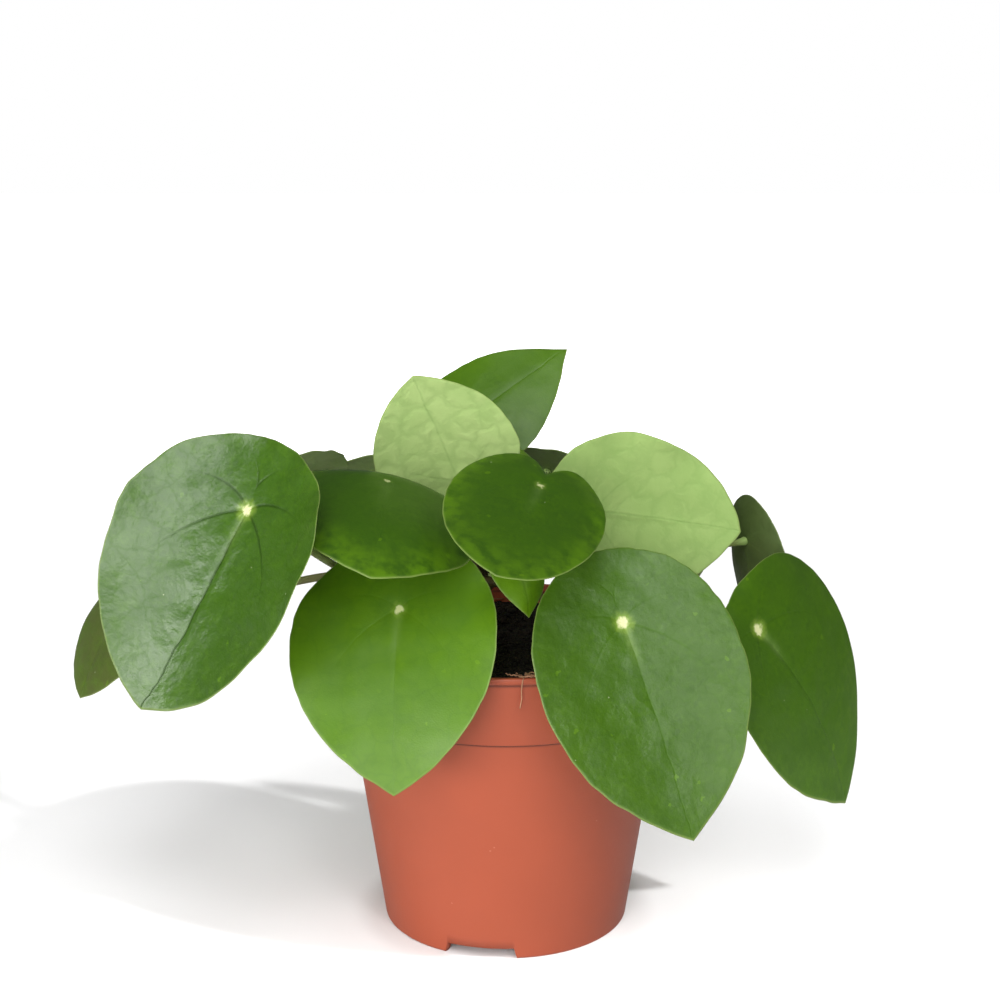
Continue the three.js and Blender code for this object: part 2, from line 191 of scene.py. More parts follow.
ROWS = {
    1: ((-80, -56, 156), -29.5, 25, -15, 93.5, 75, 0.25, 0.38, 73, -10.5, 6, 109, 38, 34, 14, 0.03,
        dict(lean=0.02, sweep=7.5, bow=(0, 3, -4), relief=1)),
    2: ((-34, -47, 122), -21, 31, 8, 83, 70, 0.3, 0.43, 62, -2, 7, 102, 18, 18, 20, 0.45,
        dict(lean=0.03, relief=0.35, spot=0.55)),
    3: ((-38, -35, 161), 43, 70.5, -42, 66, 64, 0.24, 0.41, 79, 9, 7.5, 132.5, 16, 16, 6, 0.03,
        dict(back=7, relief=0.25, spot=0.2)),
    4: ((-16.1, -5.7, 155.8), 188, 21, 158.5, 54, 48.5, 0.16, 0.35, 65, 4, 4.5, 140.5, 12, 12, -12, 0.9,
        dict(turn=-12, root=1.3, tip=1)),
    5: ((-18, 30, 166), -13.5, 34.5, 135.5, 69, 44.5, 0.27, 0.34, 41, 3.5, 4, 139, 16, 12, 25, 0.28,
        dict(turn=5, root=1.4, tip=1)),
    6: ((10.5, -48, 162), 29, 61.5, -42.5, 68.5, 50, 0.26, 0.41, 75, 3, -1, 136, 22, 18, 25, 0.03,
        dict(lean=0.04, notch=0.5, relief=0.25, spot=0.35)),
    7: ((29.5, -12, 146.5), 184, 11.5, -83, 68, 60.5, 0.28, 0.39, 69, 4, 6, 125, 24, 20, 20, 0.2,
        dict(turn=-48)),
    8: ((36.5, -54, 119.5), 14, 28, 12.5, 95, 69, 0.26, 0.41, 58, -1, 6, 118, 30, 20, 10, 0.12,
        dict(lean=-0.02, relief=0.8, crease=0.28)),
    9: ((84, -18, 106.5), 39, 20.5, 41, 83.5, 73, 0.17, 0.41, 61, 7, 7, 122, 45, 20, 6, 0.12,
        dict(lean=-0.24, sweep=19.5)),
    10: ((86, 28, 126.8), 125, 4.5, -6, 54, 30.5, 0.3, 0.6, 62, -5.5, -3, 128, 38, 22, 8, 0,
         dict(back=-2, turn=-6, root=1.6, tip=1.1, age=0.8)),
    11: ((-129.5, -4, 113), -52, 39.5, 1.5, 49.5, 46, 0.28, 0.43, 70, 3, 5, 113, 55, 30, 26, 0,
         dict(age=1)),
    12: ((-74, 29, 150), -132, 45, 20, 60, 55, 0.28, 0.42, 62, 2, 6, 128, 30, 18, 25, 0.3, dict(age=0.15)),
    13: ((-46, 57, 146), -168, 46, 4, 52, 46, 0.28, 0.42, 62, 2, 6, 133, 22, 16, 25, 0.3, dict(age=0.3)),
    14: ((15, 42, 150), 166.5, 44, 4.5, 54, 50, 0.28, 0.42, 62, 2, 6, 141, 18, 14, 25, 0.3, dict(age=0.5)),
    15: ((2.5, -41, 139), 34, 43, -3, 29.5, 20, 0.3, 0.42, 45, 2, 6, 131, 18, 10, 25, 1,
         dict(root=1.2, tip=0.9, detail=0.5)),
    16: ((42, 80, 116), 160, 34, 4, 66, 58, 0.28, 0.42, 60, 2, 7, 113, 30, 20, 20, 0.3, dict()),
    17: ((-100, 60, 122), -125, 32, -5, 70, 60, 0.28, 0.42, 60, -2, 8, 119, 35, 22, 25, 0.2, dict()),
    18: ((-30, 97, 106), -172, 36, 4, 68, 60, 0.28, 0.42, 60, 3, 7, 112, 30, 20, 25, 0.35, dict()),
    19: ((52, 42, 138), 125, 42, -12, 48, 42, 0.27, 0.42, 64, 4, 6, 135, 25, 14, 25, 0.28, dict()),
    20: ((-13, 8, 172), 150, 40, 160, 20, 14, 0.28, 0.4, 48, 2, 2, 146, 6, 8, 55, 1,
         dict(thick=0.8, root=0.9, tip=0.8, detail=0.35)),
    21: ((1, 3, 165), 60, 50, 30, 22, 16, 0.28, 0.4, 50, 2, 2, 144, 8, 8, 55, 1,
         dict(thick=0.8, root=0.9, tip=0.8, detail=0.35)),
}
GROWN_LENGTH = 30
LEAVES = {}
for number, (*measures, more) in ROWS.items():
    leaf = {**DEFAULTS, **dict(zip(COLUMNS, measures)), **more}
    LEAVES[number] = {"crease": leaf["relief"], **leaf}
grown = [leaf for leaf in LEAVES.values() if leaf["length"] > GROWN_LENGTH]
print(len(LEAVES), "leaves,", len(grown), "of them grown")

# %% [markdown]
# ## The outline of a blade
#
# A pilea blade is almost round, with a blunt point away from the hub. It could be traced point by
# point, but two cubic curves a side already give it: one from the base round to the widest place,
# and one from there to the apex. A seeded ripple keeps the margin from looking machined.

# %% Blade outline
def cubic(p0, p1, p2, p3, t):
    """A cubic curve: the four points weighted by (1-t)^3, 3t(1-t)^2, 3t^2(1-t) and t^3."""
    t = np.asarray(t, float)[:, None]
    return (1 - t) ** 3 * p0 + 3 * t * (1 - t) ** 2 * p1 + 3 * t**2 * (1 - t) * p2 + t**3 * p3


def blade_rim(leaf, count):
    """The blade's straight outline in mm, from the base up the right side and down the left one."""
    half = leaf["width"] / 2
    length, base, widest = leaf["length"], leaf["base"], leaf["widest"]
    rise = (1 - widest) * length
    apex = math.radians(leaf["apex"])
    foot = np.array([0, -base * length])
    side = np.array([half, (widest - base) * length])
    top = np.array([0, (1 - base) * length])
    t = np.linspace(0, 1, count // 4, endpoint=False)
    lower = cubic(foot, foot + [0.6 * half, 0], side - [0, 0.5 * widest * length], side, t)
    shoulder = top + 0.4 * rise * np.array([math.sin(apex), -math.cos(apex)])
    upper = cubic(side, side + [0, 0.5 * rise], shoulder, top, t)
    right = np.vstack([lower, upper])
    left = np.vstack([top, right[:0:-1]]) * [-1, 1]
    return np.vstack([right, left])


def ripple(angle, seed, waves, size):
    """A closed seeded ripple: a sum of sines round the circle, weaker as they get finer."""
    rng = np.random.default_rng(seed)
    total = np.zeros_like(angle)
    for wave in waves:
        total += rng.normal() / math.sqrt(wave) * np.sin(wave * angle + rng.uniform(0, 2 * math.pi))
    return size * total


print("outline of blade 1 has", len(blade_rim(LEAVES[1], 192)), "points")

# %% [markdown]
# ## The surface of a blade
#
# The blade is a thin cushion, cupped across and drooping to its point. Over that lie small things
# that catch the light: a crease along the midrib, two pairs of side veins that bend to the apex, a
# dimple at the hub where the petiole joins below, and slow bulges between the veins. Fine veins
# are left to the finish. Both faces move together, so the blade keeps its thickness.

# %% Blade surface
VEIN_STEP = 68.0  # degrees between the main veins at the hub
VEIN_BEND = 0.0157  # how fast a side vein turns to the apex, per mm
CREASE_DEPTH = 0.45
SIDE_CREASE = 0.4  # a side vein's depth over the midrib's
HUB_DIMPLE = 0.45
BULGE = 0.22
BULGE_LENGTHS = (34, 25, 19, 14, 11)
FULL_RELIEF_LENGTH = 85  # shorter blades have lower relief
MARGIN_SHARE = 0.4  # the margin's thickness over the blade's
RINGS = 44
QUARTER_COLUMNS = 48
PATTERN_STEP = 37.0  # each blade's pattern is read this much deeper than the one before
BULGE_SEED, WAVE_SEED, RIM_SEED, FINE_RIM_SEED = 100, 300, 500, 700
LEAF_LOOKS = ("tone", "age", "relief", "crease", "spot")


def vein_distance(x, y):
    """Distance in mm to the nearest main vein, and whether that is the midrib.

    The angle from the apex is stretched by 1 + bend x radius, so a vein at a fixed stretched angle
    turns to the apex as it runs out. The distance is the angle to the nearest vein times radius.
    """
    radius = np.hypot(x, y)
    angle = np.degrees(np.arctan2(np.abs(x), y)) * (1 + VEIN_BEND * radius)
    off = np.abs((angle + VEIN_STEP / 2) % VEIN_STEP - VEIN_STEP / 2)
    return np.radians(off) * radius, angle < VEIN_STEP / 2


def blade_relief(leaf, number, x, y, share):
    """Small heights over the cupped blade: creases, hub dimple and bulges, all in mm."""
    distance, on_midrib = vein_distance(x, y)
    radius = np.hypot(x, y)
    width = np.where(on_midrib, 1.7, 2.2)
    side_fade = SIDE_CREASE * np.clip(1 - share / 0.8, 0, 1)
    fade = np.clip(1.15 - share, 0, 1) * np.where(on_midrib, 1, side_fade)
    crease = -CREASE_DEPTH * bell(distance, width) * fade * np.clip(radius / 3, 0, 1)
    dimple = -HUB_DIMPLE * bell(radius, 3.6)
    rng = np.random.default_rng(BULGE_SEED + number)
    bulge = np.zeros_like(x)
    for length in BULGE_LENGTHS:
        turn = rng.uniform(0, math.pi)
        phase = rng.uniform(0, 2 * math.pi, 2)
        along = 2 * math.pi / length * (x * math.cos(turn) + y * math.sin(turn))
        across = 2 * math.pi / length * (y * math.cos(turn) - x * math.sin(turn))
        bulge += length / BULGE_LENGTHS[0] * np.sin(along + phase[0]) * np.sin(across + phase[1])
    bulge *= BULGE * np.clip(radius / 12, 0, 1) * (1 - 0.55 * share**4)
    wave = ripple(np.arctan2(x, y), WAVE_SEED + number, range(4, 11), 0.5) * share**5
    size = min(leaf["length"] / FULL_RELIEF_LENGTH, 1)
    return size * (leaf["crease"] * crease + leaf["relief"] * bulge + dimple + wave)


def blade_axes(leaf):
    """Across, apex and normal of a blade: it faces along normal, and its apex is turned by roll."""
    a, e, c = (math.radians(leaf[key]) for key in ("face", "tilt", "roll"))
    normal = direction(leaf["face"], leaf["tilt"])
    downhill = np.array([math.sin(a) * math.sin(e), -math.cos(a) * math.sin(e), -math.cos(e)])
    level = np.array([math.cos(a), math.sin(a), 0])
    apex = math.cos(c) * downhill + math.sin(c) * level
    return np.cross(apex, normal), apex, normal


def blade_points(leaf, number):
    """Rings of the blade from the pole under the hub out to the margin and back over the top.

    A ring at share s holds s times the outline. Its height is -cup (2x/width)^2 minus the droop
    times (y/reach)^2, plus the relief, plus or minus half the thickness.
    """
    columns = 4 * int(QUARTER_COLUMNS * leaf["detail"])
    steps = int(RINGS * leaf["detail"])
    rim = blade_rim(leaf, columns)
    angle = np.arctan2(rim[:, 0], -rim[:, 1])
    finer = ripple(angle, FINE_RIM_SEED + number, range(20, 46), 0.0024)
    rim = rim * (1 + ripple(angle, RIM_SEED + number, range(5, 15), 0.0032) + finer)[:, None]
    inner = np.linspace(0, 1, steps + 1)[1:] ** 1.15
    inner = inner[inner < 0.975]
    shares = np.concatenate([inner, [0.985, 0.996, 1.0, 0.996, 0.985], inner[::-1]])
    sides = np.concatenate([-np.ones(len(inner)), [-0.95, -0.6, 0, 0.6, 0.95], np.ones(len(inner))])
    straight = shares[:, None, None] * rim
    x, y = straight[..., 0], straight[..., 1]
    keep = 1 - leaf["notch"] * bell(angle, 0.35)
    reach = (1 - leaf["base"]) * leaf["length"]
    bent_y = y * keep
    lean = np.where(x > 0, 1 + leaf["lean"], 1 - leaf["lean"])
    bent_x = x * keep * lean + leaf["sweep"] * (bent_y / reach) ** 2
    share = np.broadcast_to(shares[:, None], x.shape)
    drop = np.where(bent_y > 0, leaf["droop"] * (bent_y / reach) ** 2,
                    leaf["back"] * (bent_y / (leaf["base"] * leaf["length"])) ** 2)
    height = -leaf["cup"] * (2 * bent_x / leaf["width"]) ** 2 - drop
    height = height + blade_relief(leaf, number, x, y, share)
    thin = 1 - (1 - MARGIN_SHARE) * share**3
    height = height + sides[:, None] * thin * leaf["thick"] / 2
    flat = np.stack([bent_x, bent_y, height], -1).reshape(-1, 3)
    hub_height = blade_relief(leaf, number, 0.0, 0.0, 0.0)
    poles = np.array([[0, 0, hub_height - leaf["thick"] / 2], [0, 0, hub_height + leaf["thick"] / 2]])
    local = np.vstack([poles[:1], flat, poles[1:]])
    across, apex, normal = blade_axes(leaf)
    points = np.array(leaf["hub"]) + local[:, :1] * across + local[:, 1:2] * apex + local[:, 2:] * normal
    place = np.stack([x, y, np.full_like(x, PATTERN_STEP * number)], -1).reshape(-1, 3)
    pole_place = np.array([[0, 0, PATTERN_STEP * number]])
    under = np.broadcast_to(np.clip(0.5 - 0.5 * sides[:, None], 0, 1), x.shape).ravel()
    attributes = {
        "place": np.vstack([pole_place, place, pole_place]),
        "rim": np.concatenate([[0], share.ravel(), [0]]),
        "under": np.concatenate([[1], under, [0]]),
        **{name: np.full(len(points), leaf[name]) for name in LEAF_LOOKS},
    }
    return points, skin_faces(len(shares), columns), attributes


blades = []
for number, leaf in LEAVES.items():
    points, faces, looks = blade_points(leaf, number)
    blades.append(make_piece(f"leaf_blade_{number:02d}", points, faces, f"blade_{number:02d}", looks))
print(len(blades), "blades,", sum(map(triangle_count, blades)), "triangles")

# %% [markdown]
# ## Stem and petioles
#
# A petiole is a tapered tube along a curve. It leaves the stem at a swollen foot, arches out, and
# meets the blade square on, where it flares into the hub. A curve object with a bevel could draw
# it, but a ring of points carried along the path lets the tube swell where the real one does.

# %% Tubes
def tube_points(path, radii, sides, reference):
    """Rings round a path: centre + radius (cos a N + sin a B), with N and B square to the path.

    N is the reference direction less its part along the path. The ends are closed by three rings
    that shrink like a quarter circle, and by a pole. Gives points, ring count and share along.
    """
    tangent = np.gradient(path, axis=0)
    tangent /= np.linalg.norm(tangent, axis=1, keepdims=True)
    normal = reference - (tangent @ reference)[:, None] * tangent
    normal /= np.linalg.norm(normal, axis=1, keepdims=True)
    binormal = np.cross(tangent, normal)
    count = len(path)
    cap = np.radians([20, 50, 75])
    closing = np.concatenate([-cap[::-1], np.zeros(count), cap])
    pick = np.clip(np.arange(-3, count + 3), 0, count - 1)
    centres = path[pick] + tangent[pick] * radii[pick, None] * 0.5 * np.sin(closing)[:, None]
    sizes = radii[pick] * np.cos(closing)
    a = round_angles(sides)[:, None]
    ring = np.cos(a) * normal[pick, None] + np.sin(a) * binormal[pick, None]
    points = centres[:, None] + sizes[:, None, None] * ring
    ends = [0, -1]
    poles = path[ends] + tangent[ends] * radii[ends, None] * [[-0.52], [0.52]]
    skin = np.vstack([poles[:1], points.reshape(-1, 3), poles[1:]])
    along = np.repeat(np.linspace(0, 1, count)[pick], sides)
    return skin, len(pick), np.concatenate([[0], along, [1]])


STEM = np.array([[-12.5, 6, 62], [-12.5, 6, 92], [-10, 8, 120], [-8.5, 9, 150]])
STEM_RADIUS = (5.2, 3.4)
STEM_SIDES = 40
PETIOLE_SIDES = 14
GAP = 0.3

stem_path = cubic(*STEM, np.linspace(0, 1, 121))


def stem_at(height):
    """The stem's centre and radius at a height, read along its own length."""
    steps = np.linalg.norm(np.diff(stem_path, axis=0), axis=1)
    along = np.concatenate([[0], np.cumsum(steps)]) / steps.sum()
    share = np.interp(height, stem_path[:, 2], along)
    centre = np.array([np.interp(height, stem_path[:, 2], stem_path[:, k]) for k in range(3)])
    return centre, STEM_RADIUS[0] + (STEM_RADIUS[1] - STEM_RADIUS[0]) * share


# The scars of fallen leaves ring the stem, closer together towards its tip.
scar_heights = np.array([99.5, 104.5, 108.5, 114.5, 119.5, 123, 127, 131, 135, 138.5, 142.5])
swell = 0.30 * bell(stem_path[:, 2:] - scar_heights, 0.7).sum(1)
stem_radii = np.linspace(*STEM_RADIUS, len(stem_path)) + swell - 0.05
points, rows, _ = tube_points(stem_path, stem_radii, STEM_SIDES, np.array([1.0, 0, 0]))
stem = make_piece("woody_stem", points, skin_faces(rows, STEM_SIDES), "stem")
print("stem", triangle_count(stem), "triangles")

# %% Petioles
def petiole_path(leaf, count):
    """The petiole's centre line: a cubic from the stem's side, out along leave, in along arrive."""
    _, _, normal = blade_axes(leaf)
    hub = np.array(leaf["hub"], float)
    centre, radius = stem_at(leaf["node"])
    azimuth = math.atan2(hub[1] - centre[1], hub[0] - centre[0]) + math.radians(leaf["turn"])
    rise = math.radians(leaf["rise"])
    flat = np.array([math.cos(azimuth), math.sin(azimuth), 0])
    leaving = flat * math.cos(rise) + np.array([0, 0, math.sin(rise)])
    start = centre + flat * (radius + GAP + leaf["root"] * abs(math.sin(rise)))
    end = hub - normal * (leaf["thick"] / 2 + GAP + HUB_DIMPLE)
    bow = np.array(leaf["bow"], float)
    out = start + leaving * leaf["leave"] + bow
    back = end - normal * leaf["arrive"] + bow
    return cubic(start, out, back, end, np.linspace(0, 1, count))


petioles = []
for number, leaf in LEAVES.items():
    steps = 44 if leaf["length"] > GROWN_LENGTH else 24
    path = petiole_path(leaf, steps)
    share = np.linspace(0, 1, steps)
    radii = leaf["root"] + (leaf["tip"] - leaf["root"]) * share
    radii = radii * (1 - 0.12 * np.sin(math.pi * share)) + 0.25 * bell(share, 0.04)
    radii = radii + 0.5 * bell(1 - share, 0.025)
    reference = np.cross(path[-1] - path[0], [0, 0, 1.0])
    reference /= np.linalg.norm(reference)
    points, rows, along = tube_points(path, radii, PETIOLE_SIDES, reference)
    petioles.append(make_piece(f"petiole_stalk_{number:02d}", points, skin_faces(rows, PETIOLE_SIDES),
                               f"petiole_{number:02d}", {"along": along}))
print(len(petioles), "petioles,", sum(map(triangle_count, petioles)), "triangles")

# %% [markdown]
# ## The pot
#
# A nursery pot is one thin moulded wall: a tapered cup, a collar a little wider than the wall, a
# small lip, and a foot ring that lifts the floor. A turned profile gives it all but two things.
# The three notches in the foot are made by lifting the ring's lowest points where a notch is, and
# the drain holes are cut with a Boolean, which suits a plain hole through a plain floor.

# %% Pot profile
POT_HEIGHT = 103.0
RIM_RADIUS = 60.0
BASE_RADIUS = 42.3
WALL_TAPER = 0.1517
WALL = 1.3
COLLAR_BOTTOM = 79.3
COLLAR_STEP = 1.3
FLOOR_BOTTOM = 5.0
FLOOR_TOP = 6.4
FOOT_INNER = 38.8
OUTER_FOOT = 41.05  # a notch widens only what lies farther out than this
NOTCH_HEIGHT = 4.0
NOTCH_HALF = 17.0
NOTCH_SLOPE = 1.6
NOTCH_MIDDLES = (-102, 18, 138)


def wall_radius(z):
    """Outer radius of the tapered wall at height z."""
    return BASE_RADIUS + WALL_TAPER * z


def arc(centre, radius, start, end, count):
    """Points on a quarter round in the profile, to soften a corner."""
    angle = np.radians(np.linspace(start, end, count))
    return [(centre[0] + radius * math.cos(a), centre[1] + radius * math.sin(a)) for a in angle]


collar_foot = wall_radius(COLLAR_BOTTOM) + COLLAR_STEP
collar_top = collar_foot + WALL_TAPER * (POT_HEIGHT - 2.4 - COLLAR_BOTTOM)
wall_rows = np.linspace(1.6, COLLAR_BOTTOM - 1.2, 14)
collar_rows = np.linspace(COLLAR_BOTTOM + 0.9, POT_HEIGHT - 3.4, 6)
inner_foot = collar_foot - WALL
floor_edge = wall_radius(FLOOR_TOP) - WALL
# From the floor's underside out over the foot, up the wall and the collar, and down the inside.
profile = np.array([
    (8, FLOOR_BOTTOM), (20, FLOOR_BOTTOM), (32, FLOOR_BOTTOM), (FOOT_INNER - 0.5, FLOOR_BOTTOM),
    (FOOT_INNER, FLOOR_BOTTOM - 0.4), (FOOT_INNER + 0.3, 1.0), (FOOT_INNER + 0.4, 0.15),
    (39.6, 0), (40.7, 0), (41.1, 0), *arc((wall_radius(1.2) - 1.2, 1.2), 1.2, -75, -5, 5),
    *[(wall_radius(z), z) for z in wall_rows],
    (wall_radius(COLLAR_BOTTOM - 0.35), COLLAR_BOTTOM - 0.35),
    (wall_radius(COLLAR_BOTTOM) + 0.12, COLLAR_BOTTOM - 0.02), (collar_foot - 0.55, COLLAR_BOTTOM),
    *arc((collar_foot - 0.5, COLLAR_BOTTOM + 0.5), 0.5, -80, 0, 5),
    *[(collar_foot + WALL_TAPER * (z - COLLAR_BOTTOM), z) for z in collar_rows],
    (collar_top - 0.05, POT_HEIGHT - 2.5), (collar_top, POT_HEIGHT - 2.3),
    (RIM_RADIUS - 0.25, POT_HEIGHT - 2.0), (RIM_RADIUS, POT_HEIGHT - 1.6),
    *arc((RIM_RADIUS - 0.6, POT_HEIGHT - 0.6), 0.6, 0, 90, 5),
    (RIM_RADIUS - 1.6, POT_HEIGHT), (RIM_RADIUS - 2.1, POT_HEIGHT - 0.25),
    (collar_top - WALL, POT_HEIGHT - 1.8), (inner_foot + WALL_TAPER * 6, COLLAR_BOTTOM + 7.5),
    (inner_foot, COLLAR_BOTTOM + 1.6), (wall_radius(COLLAR_BOTTOM) - WALL, COLLAR_BOTTOM - 0.6),
    (wall_radius(40) - WALL, 40), (floor_edge, FLOOR_TOP + 0.5), (floor_edge - 0.5, FLOOR_TOP),
    (30, FLOOR_TOP), (15, FLOOR_TOP),
])
print("the profile has", len(profile), "points")

# %% Pot body
# Plain columns every 1.5 degrees, and one at each side and slope end of each notch.
notch_sides = [sign * (NOTCH_HALF - back) for sign in (-1, 1) for back in (0, NOTCH_SLOPE)]
edges = [middle + side for middle in NOTCH_MIDDLES for side in notch_sides]
degrees = np.unique(np.round(np.mod(np.concatenate([np.arange(0, 360, 1.5), edges]), 360), 3))
turn = np.radians(degrees)
off = np.min([np.abs((degrees - middle + 180) % 360 - 180) for middle in NOTCH_MIDDLES], axis=0)
notch = NOTCH_HEIGHT * np.clip((NOTCH_HALF - off) / NOTCH_SLOPE, 0, 1)
radius, height = profile[:, :1], profile[:, 1:]
lifted = np.maximum(height, notch)
outer_foot = (radius > OUTER_FOOT) & (height < NOTCH_HEIGHT + 0.1)
radius = np.where(outer_foot & (lifted > height), wall_radius(lifted), radius)
rings = polar(radius, turn, lifted).reshape(-1, 3)
points = np.vstack([[[0, 0, FLOOR_BOTTOM]], rings, [[0, 0, FLOOR_TOP]]])
pot = make_piece("nursery_pot", points, skin_faces(len(profile), len(turn)), "pot")
print("pot", triangle_count(pot), "triangles before the drain holes")

# %% Drain holes
DRAIN_RADIUS = 4.5
DRAIN_CIRCLE = 26.0
DRAIN_COUNT = 6
DRAIN_SIDES = 40


def drill_points(centre, low, high):
    """A closed upright cylinder: two rings at the same radius and a pole at each end."""
    rings = [polar(DRAIN_RADIUS, round_angles(DRAIN_SIDES), z) for z in (low, high)]
    return centre + np.vstack([[[0, 0, low]], *rings, [[0, 0, high]]])


holes = [np.zeros(3), *polar(DRAIN_CIRCLE, round_angles(DRAIN_COUNT), 0.0)]
drill_faces = [face.tolist() for group in skin_faces(2, DRAIN_SIDES) for face in group]
for hole in holes:
    mesh = bpy.data.meshes.new("drill")
    corners = to_part(drill_points(hole, FLOOR_BOTTOM - 2, FLOOR_TOP + 2))
    mesh.from_pydata(corners.tolist(), [], drill_faces)
    drill = place_object("drill", mesh)
    cut = pot.modifiers.new("drain hole", "BOOLEAN")
    cut.operation = "DIFFERENCE"
    cut.solver = "EXACT"
    cut.object = drill
    bpy.context.view_layer.update()
    graph = bpy.context.evaluated_depsgraph_get()
    drained = bpy.data.meshes.new_from_object(pot.evaluated_get(graph))
    pot.modifiers.clear()
    pot.data = drained
    bpy.data.objects.remove(drill)
pot.data.name = "nursery_pot"
print("pot", triangle_count(pot), "triangles after", len(holes), "drain holes")

# %% [markdown]
# ## The soil
#
# Peat fills the pot to a little under the rim. Its body is a closed skin whose top is a height
# field of seeded waves, so it looks raked by fingers and water. Crumbs of peat lie on it, each a
# small dented lump, and a few coir fibres curl over it and over the rim at the front.

# %% Soil body
SOIL_EDGE = 96.5
SOIL_CROWN = 98.0
SOIL_COLUMNS = 160
SOIL_RINGS = 70
SOIL_WAVES = ((22, 0.55), (13, 0.4), (8, 0.3), (5, 0.22), (3.2, 0.15))  # length and size
SOIL_SEED = 41


def inside(z):
    """The soil's radius at height z: the pot's inner wall less the gap."""
    return wall_radius(z) - WALL - GAP


def soil_height(x, y):
    """Peat surface: a low crown, plus seeded sine waves of 3 to 22 mm, flat at the wall."""
    out = np.clip(np.hypot(x, y) / 57, 0, 1)
    rng = np.random.default_rng(SOIL_SEED)
    waves = np.zeros_like(x)
    for length, size in SOIL_WAVES:
        for _ in range(3):
            turn, phase = rng.uniform(0, 2 * math.pi, 2)
            along = x * math.cos(turn) + y * math.sin(turn)
            waves += size / 2 * np.sin(2 * math.pi / length * along + phase)
    return SOIL_CROWN - (SOIL_CROWN - SOIL_EDGE) * out**2 + waves * (1 - out**8) - 0.2


turn = round_angles(SOIL_COLUMNS)
collar_inside = collar_foot - WALL - GAP
edge_radius = collar_inside + WALL_TAPER * (SOIL_EDGE - COLLAR_BOTTOM - 1.6) - 0.25
side = np.array([
    (20, FLOOR_TOP + GAP), (inside(FLOOR_TOP) - 0.4, FLOOR_TOP + GAP), (inside(40) - 0.1, 40),
    (inside(COLLAR_BOTTOM - 0.6), COLLAR_BOTTOM - 0.4), (collar_inside - 0.1, COLLAR_BOTTOM + 1.9),
    (edge_radius, SOIL_EDGE - 0.6),
])
top_radius = edge_radius * np.linspace(1, 0, SOIL_RINGS, endpoint=False) ** 0.8
low = polar(side[:, :1], turn, side[:, 1:]).reshape(-1, 3)
high = polar(top_radius[:, None], turn, 0.0).reshape(-1, 3)
high[:, 2] = soil_height(high[:, 0], high[:, 1])
points = np.vstack([[[0, 0, FLOOR_TOP + GAP]], low, high, [[0, 0, soil_height(0.0, 0.0)]]])
faces = skin_faces(len(side) + SOIL_RINGS, SOIL_COLUMNS)
soil = make_piece("peat_soil", points, faces, "soil")
print("soil", triangle_count(soil), "triangles")

# %% Peat crumbs
CRUMBS = 1500
CRUMB_SEED = 7
CRUMB_REACH = 56.6


def lump_shape():
    """A small closed ball of 6 columns and 3 rings, to be dented into a crumb."""
    rise = np.radians([-45, 0, 45])[:, None]
    rings = polar(np.cos(rise), round_angles(6), np.sin(rise)).reshape(-1, 3)
    return np.vstack([[[0, 0, -1]], rings, [[0, 0, 1]]]), skin_faces(3, 6)


def repeat_faces(faces, points_each, copies):
    """The same faces again for each copy, with its own point numbers."""
    shift = (np.arange(copies) * points_each)[:, None, None]
    return [(face[None] + shift).reshape(-1, face.shape[1]) for face in faces]


rng = np.random.default_rng(CRUMB_SEED)
lump, lump_faces = lump_shape()
out = CRUMB_REACH * np.sqrt(rng.uniform(0, 1, CRUMBS))
a = rng.uniform(0, 2 * math.pi, CRUMBS)
x, y = out * np.cos(a), out * np.sin(a)
size = np.exp(rng.normal(-0.25, 0.42, CRUMBS)).clip(0.3, 1.8)
stretch = rng.uniform(0.55, 1.3, (CRUMBS, 1, 3)) * [1, 1, 0.75]
dents = rng.uniform(0.7, 1.2, (CRUMBS, len(lump), 1))
spin = rng.uniform(0, 2 * math.pi, CRUMBS)[:, None]
local = lump * stretch * dents * size[:, None, None]
spun_x = local[..., 0] * np.cos(spin) - local[..., 1] * np.sin(spin)
spun_y = local[..., 0] * np.sin(spin) + local[..., 1] * np.cos(spin)
centre_z = soil_height(x, y) + 0.15 * size
crumb_points = np.stack([x[:, None] + spun_x, y[:, None] + spun_y, centre_z[:, None] + local[..., 2]], -1)
crumbs = make_piece("peat_crumbs", crumb_points.reshape(-1, 3), repeat_faces(lump_faces, len(lump), CRUMBS),
                    attributes={"shade": np.repeat(rng.uniform(0, 1, CRUMBS), len(lump))})
print("crumbs", triangle_count(crumbs), "triangles")

# %% Coir fibres
FIBRE_SIDES = 5
FIBRE_STEPS = 14
FIBRE_SEED = 19


def fibre_points(start, angle, curl, lengths, rng, sag=0.0):
    """A thin curl that leaves to one side or the other, wanders by seeded turns, and sags."""
    heading = angle + rng.choice([-1, 1]) * rng.uniform(*curl)
    length = rng.uniform(*lengths)
    turn = heading + np.cumsum(rng.normal(0, 0.33, FIBRE_STEPS))
    lift = np.cumsum(rng.normal(0, 0.12, FIBRE_STEPS))
    step = length / FIBRE_STEPS * np.stack([np.cos(turn), np.sin(turn), 0.35 * np.sin(lift) - sag], -1)
    return start + np.cumsum(step, axis=0)


def keep_within(path, least, most):
    """Moves a path's points in or out, so that they stay between two distances from the axis."""
    out = np.hypot(path[:, 0], path[:, 1])
    path[:, :2] *= (np.clip(out, least, most) / out)[:, None]


def add_fibre(path, radius, reference):
    """Makes a tube of even thickness round the path and keeps it for the fibres' piece."""
    radii = np.full(len(path), radius)
    fibre_parts.append(tube_points(path, radii, FIBRE_SIDES, np.array(reference))[:2])


fibre_parts = []
rng = np.random.default_rng(FIBRE_SEED)
